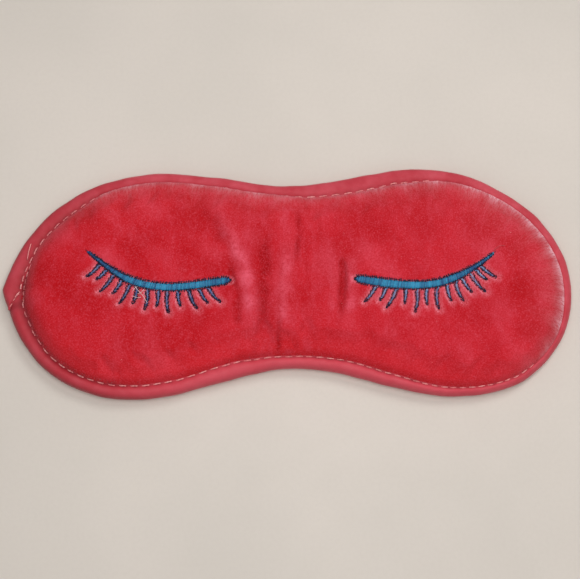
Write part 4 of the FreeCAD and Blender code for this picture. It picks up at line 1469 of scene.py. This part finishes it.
def strap_pieces():
    """The head strap, its return run, the tab and the sewn end at the adjuster."""
    half = STRAP_THICK / 2
    left_low, left_high = box_mm("head_strap_left")
    ring_low, ring_high = box_mm("strap_ring")
    wire = (ring_high[2] - ring_low[2]) / 2
    ring_z = (ring_low[2] + ring_high[2]) / 2
    high_z = left_high[2] - half
    seam_z = left_low[2] + half
    turn_r = high_z - ring_z
    left_bar, right_bar = ring_low[0] + wire, ring_high[0] - wire
    low_z = ring_z - turn_r
    run_low, run_high = box_mm("strap_return_run")
    tab_high = box_mm("ring_tab")[1]
    seam_x = left_low[0]
    path = run_between((seam_x, seam_z), (seam_x + SEWN_RUN, seam_z))
    path += eased((seam_x + SEWN_RUN, seam_z), (seam_x + RISEN_RUN, high_z))
    path += run_between((seam_x + RISEN_RUN, high_z), (left_bar, high_z))
    path += turn_round((left_bar, ring_z), turn_r, 90, -180)
    path += run_to_end((left_bar - 0.6, low_z), (run_high[0], low_z))
    strap = ribbon("head_strap", path)
    strap_return = ribbon("strap_return", run_to_end((run_low[0], low_z), (run_high[0], low_z)))
    sewn_x, tab_z = tab_high[0] - SEWN_RUN, seam_z + STRAP_THICK
    tab_path = run_between((tab_high[0], tab_z), (sewn_x, tab_z))
    tab_path += eased((sewn_x, tab_z), (right_bar, high_z), 8)
    tab_path += turn_round((right_bar, ring_z), turn_r, 90, 180)
    tab_path += eased((right_bar + 0.4, low_z), (sewn_x, seam_z), 8)
    tab_path += run_to_end((sewn_x, seam_z), (tab_high[0], seam_z))
    tab = ribbon("ring_tab_webbing", tab_path)
    wrap_low, wrap_high = box_mm("strap_end_wrap")
    bar_x = wrap_low[0] + 1.9
    top_z = wrap_high[2] - 0.28
    doubled_z = low_z + 0.62
    wrap_path = run_between((wrap_high[0], low_z), (bar_x, low_z))
    wrap_path += turn_round((bar_x, (low_z + top_z) / 2), (top_z - low_z) / 2, -90, -180)
    wrap_path += run_between((bar_x + 0.3, top_z), (bar_x + 1.3, top_z), 0.4)
    wrap_path += eased((bar_x + 1.3, top_z), (bar_x + 3.6, doubled_z), 8)
    wrap_path += run_to_end((bar_x + 3.6, doubled_z), (wrap_high[0], doubled_z))
    wrap = ribbon("strap_end_loop", wrap_path, 0.6)
    return strap, strap_return, tab, wrap


TACK_STITCHES = 26
TACK_MARGIN = 0.5


def bar_tack(name, node):
    """A close zigzag of thread across a strap end."""
    random = np.random.default_rng(len(node))
    low, high = box_mm(node)
    threads = Threads()
    width = high[1] - low[1] - 2 * TACK_MARGIN
    z = high[2]
    for k in range(TACK_STITCHES):
        y0 = low[1] + TACK_MARGIN + width * k / TACK_STITCHES
        y1 = y0 + width / TACK_STITCHES * 0.5
        left, right = (low[0] + 0.05, y0, z), (high[0] - 0.05, y1, z)
        for start, end, rise in ((left, right, -0.12), (right, (left[0], y1 + 0.2, z), -0.10)):
            threads.add(arched(start, end, rise, -0.15, 6), 0.13, random.uniform(0.2, 1))
    return threads.piece(name, TAPE_THREAD)


def adjuster():
    """Moulded tri-glide: rails, bar and sides run together with soft corners."""
    low, high = box_mm("slider_frame")
    rail, side, bar_half, bar_top, rail_low = 1.6, 1.6, 1.2, 1.8, 3.6
    middle = (low[0] + high[0]) / 2
    blocks = [((middle - bar_half, low[1], low[2]), (middle + bar_half, high[1], bar_top))]
    for y0, y1 in ((low[1], low[1] + side), (high[1] - side, high[1])):
        blocks.append(((low[0], y0, low[2]), (high[0], y1, high[2])))
    for x0, x1 in ((low[0], low[0] + rail), (high[0] - rail, high[0])):
        blocks.append(((x0, low[1], rail_low), (x1, high[1], high[2])))
    points, faces = [], []
    for a, b in blocks:
        first = len(points)
        points += [(x, y, z) for x in (a[0], b[0]) for y in (a[1], b[1]) for z in (a[2], b[2])]
        for face in ((0, 1, 3, 2), (4, 6, 7, 5), (0, 4, 5, 1), (2, 3, 7, 6), (0, 2, 6, 4),
                     (1, 5, 7, 3)):
            faces.append(tuple(first + k for k in face))
    piece = make_piece("adjuster_frame", points, faces, PLASTIC)
    remesh = piece.modifiers.new("moulding", "REMESH")
    remesh.mode = "VOXEL"
    remesh.voxel_size = 0.16 * MM
    remesh.use_smooth_shade = True
    soften = piece.modifiers.new("soft_corners", "SMOOTH")
    soften.factor = 0.5
    soften.iterations = 7
    made = bpy.data.meshes.new_from_object(
        piece.evaluated_get(bpy.context.evaluated_depsgraph_get()))
    piece.modifiers.clear()
    piece.data = made
    return piece


# ---- stage

CAMERA_AIM = (1.08, -2.98, 5.0)
CAMERA_DISTANCE = 430.0
CAMERA_ELEVATION = math.radians(80.0)
CAMERA_LENS = 74.0
# Round area lights, aimed at the mask: name, place in metres, width, power, colour.
LIGHTS = [
    ("window", (0.52, 0.68, 0.85), 0.45, 4.3, (1.0, 0.985, 0.97)),
    ("room", (-0.05, -0.70, 0.60), 0.60, 0.6, (1.0, 0.985, 0.965)),
    ("ceiling", (0.02, -0.01, 0.43), 0.30, 0.84, (1.0, 0.985, 0.965)),
]
ROOM_COLOUR = (1.0, 0.985, 0.96, 1)
ROOM_STRENGTH = 0.335
TABLE_HALF = 1.6 / MM


def add_camera():
    back = Vector((0, -math.cos(CAMERA_ELEVATION), math.sin(CAMERA_ELEVATION)))
    data = bpy.data.cameras.new("camera")
    data.lens = CAMERA_LENS
    data.clip_start = 0.01
    camera = bpy.data.objects.new("camera", data)
    camera.location = (Vector(CAMERA_AIM) + back * CAMERA_DISTANCE) * MM
    camera.rotation_euler = (math.pi / 2 - CAMERA_ELEVATION, 0, 0)
    bpy.context.scene.collection.objects.link(camera)
    bpy.context.scene.camera = camera


def add_light(name, place, size, power, colour):
    data = bpy.data.lights.new(name, "AREA")
    data.shape = "DISK"
    data.size = size
    data.energy = power
    data.color = colour
    light = bpy.data.objects.new(name, data)
    light.location = place
    light.rotation_euler = (-Vector(place)).to_track_quat("-Z", "Y").to_euler()
    bpy.context.scene.collection.objects.link(light)


def add_stage():
    scene = bpy.context.scene
    scene.view_settings.view_transform = "Standard"
    scene.world = bpy.data.worlds.new("soft_room")
    scene.world.use_nodes = True
    room = scene.world.node_tree.nodes["Background"].inputs
    room["Color"].default_value = ROOM_COLOUR
    room["Strength"].default_value = ROOM_STRENGTH
    for light in LIGHTS:
        add_light(*light)
    corners = [(x * TABLE_HALF, y * TABLE_HALF, 0)
               for x, y in ((-1, -1), (1, -1), (1, 1), (-1, 1))]
    floor = make_piece("table_top", corners, [(0, 1, 2, 3)], table_material(), smooth=False)


# ---- assembly


def dress(piece, nodes, body=None):
    """Hides the frame's parts that a piece stands for and attaches it to the body it moves with.

    Without a body, its placement is only baked into its mesh.
    """
    if nodes:
        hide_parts(*nodes)
    if body:
        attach(piece, body)
    else:
        bend_with_fold(piece)


def both(name):
    return [name + "_left", name + "_right"]


def build():
    add_camera()
    add_stage()
    velvet, tree = velvet_front()
    dress(velvet, both("velvet_cover"))
    foam = layer_piece("foam_core", 2, FOAM)
    dress(foam, both("foam_pad"))
    for name, level, material, slot, node in (
            ("blackout_layer", 1, BLACKOUT, "interlining", "blackout_interlining"),
            ("satin_back", 0, SATIN, "lining", "satin_lining")):
        sheet = layer_piece(name, level, material)
        dress(sheet, both(node))
    dress(edge_tape(), both("edge_binding"))
    face_row, back_row = tape_stitches()
    dress(face_row, both("binding_stitching"))
    dress(back_row, None)
    dress(lap_stitches(), None)
    for side in ("left", "right"):
        body = side + "_half"
        dress(lid_satin(side, tree), ["lid_band_" + side], body)
        dress(lid_border(side, tree), ["lid_outline_" + side], body)
        dress(lash_edges(side, tree), ["lashes_" + side], body)
        dress(lash_cores(side, tree), None, body)
    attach(loose_threads("loose_thread_pale", LOOSE_PALE, PALE_THREAD, 0.085, tree), "left_half")
    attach(loose_threads("loose_thread_red", LOOSE_RED, RED_FIBRE, 0.09, tree), "right_half")
    bend_with_fold(lint(tree))
    dress(pile_tufts(tree), None)
    strap, strap_return, tab, wrap = strap_pieces()
    dress(strap, both("head_strap"))
    dress(strap_return, ["strap_return_run"], "right_half")
    dress(tab, ["ring_tab"], "right_half")
    dress(wrap, ["strap_end_wrap"], "slider")
    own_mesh(strap_return)
    for name, node, body in (("strap_tack", "strap_tack_left", "left_half"),
                             ("tab_tack", "tab_tack_right", "right_half"),
                             ("loop_tack", "wrap_tack", "slider")):
        dress(bar_tack(name, node), [node], body)
    dress(adjuster(), ["slider_frame"], "slider")
    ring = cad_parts["strap_ring"]
    ring.data.materials.clear()
    ring.data.materials.append(METAL)


build()
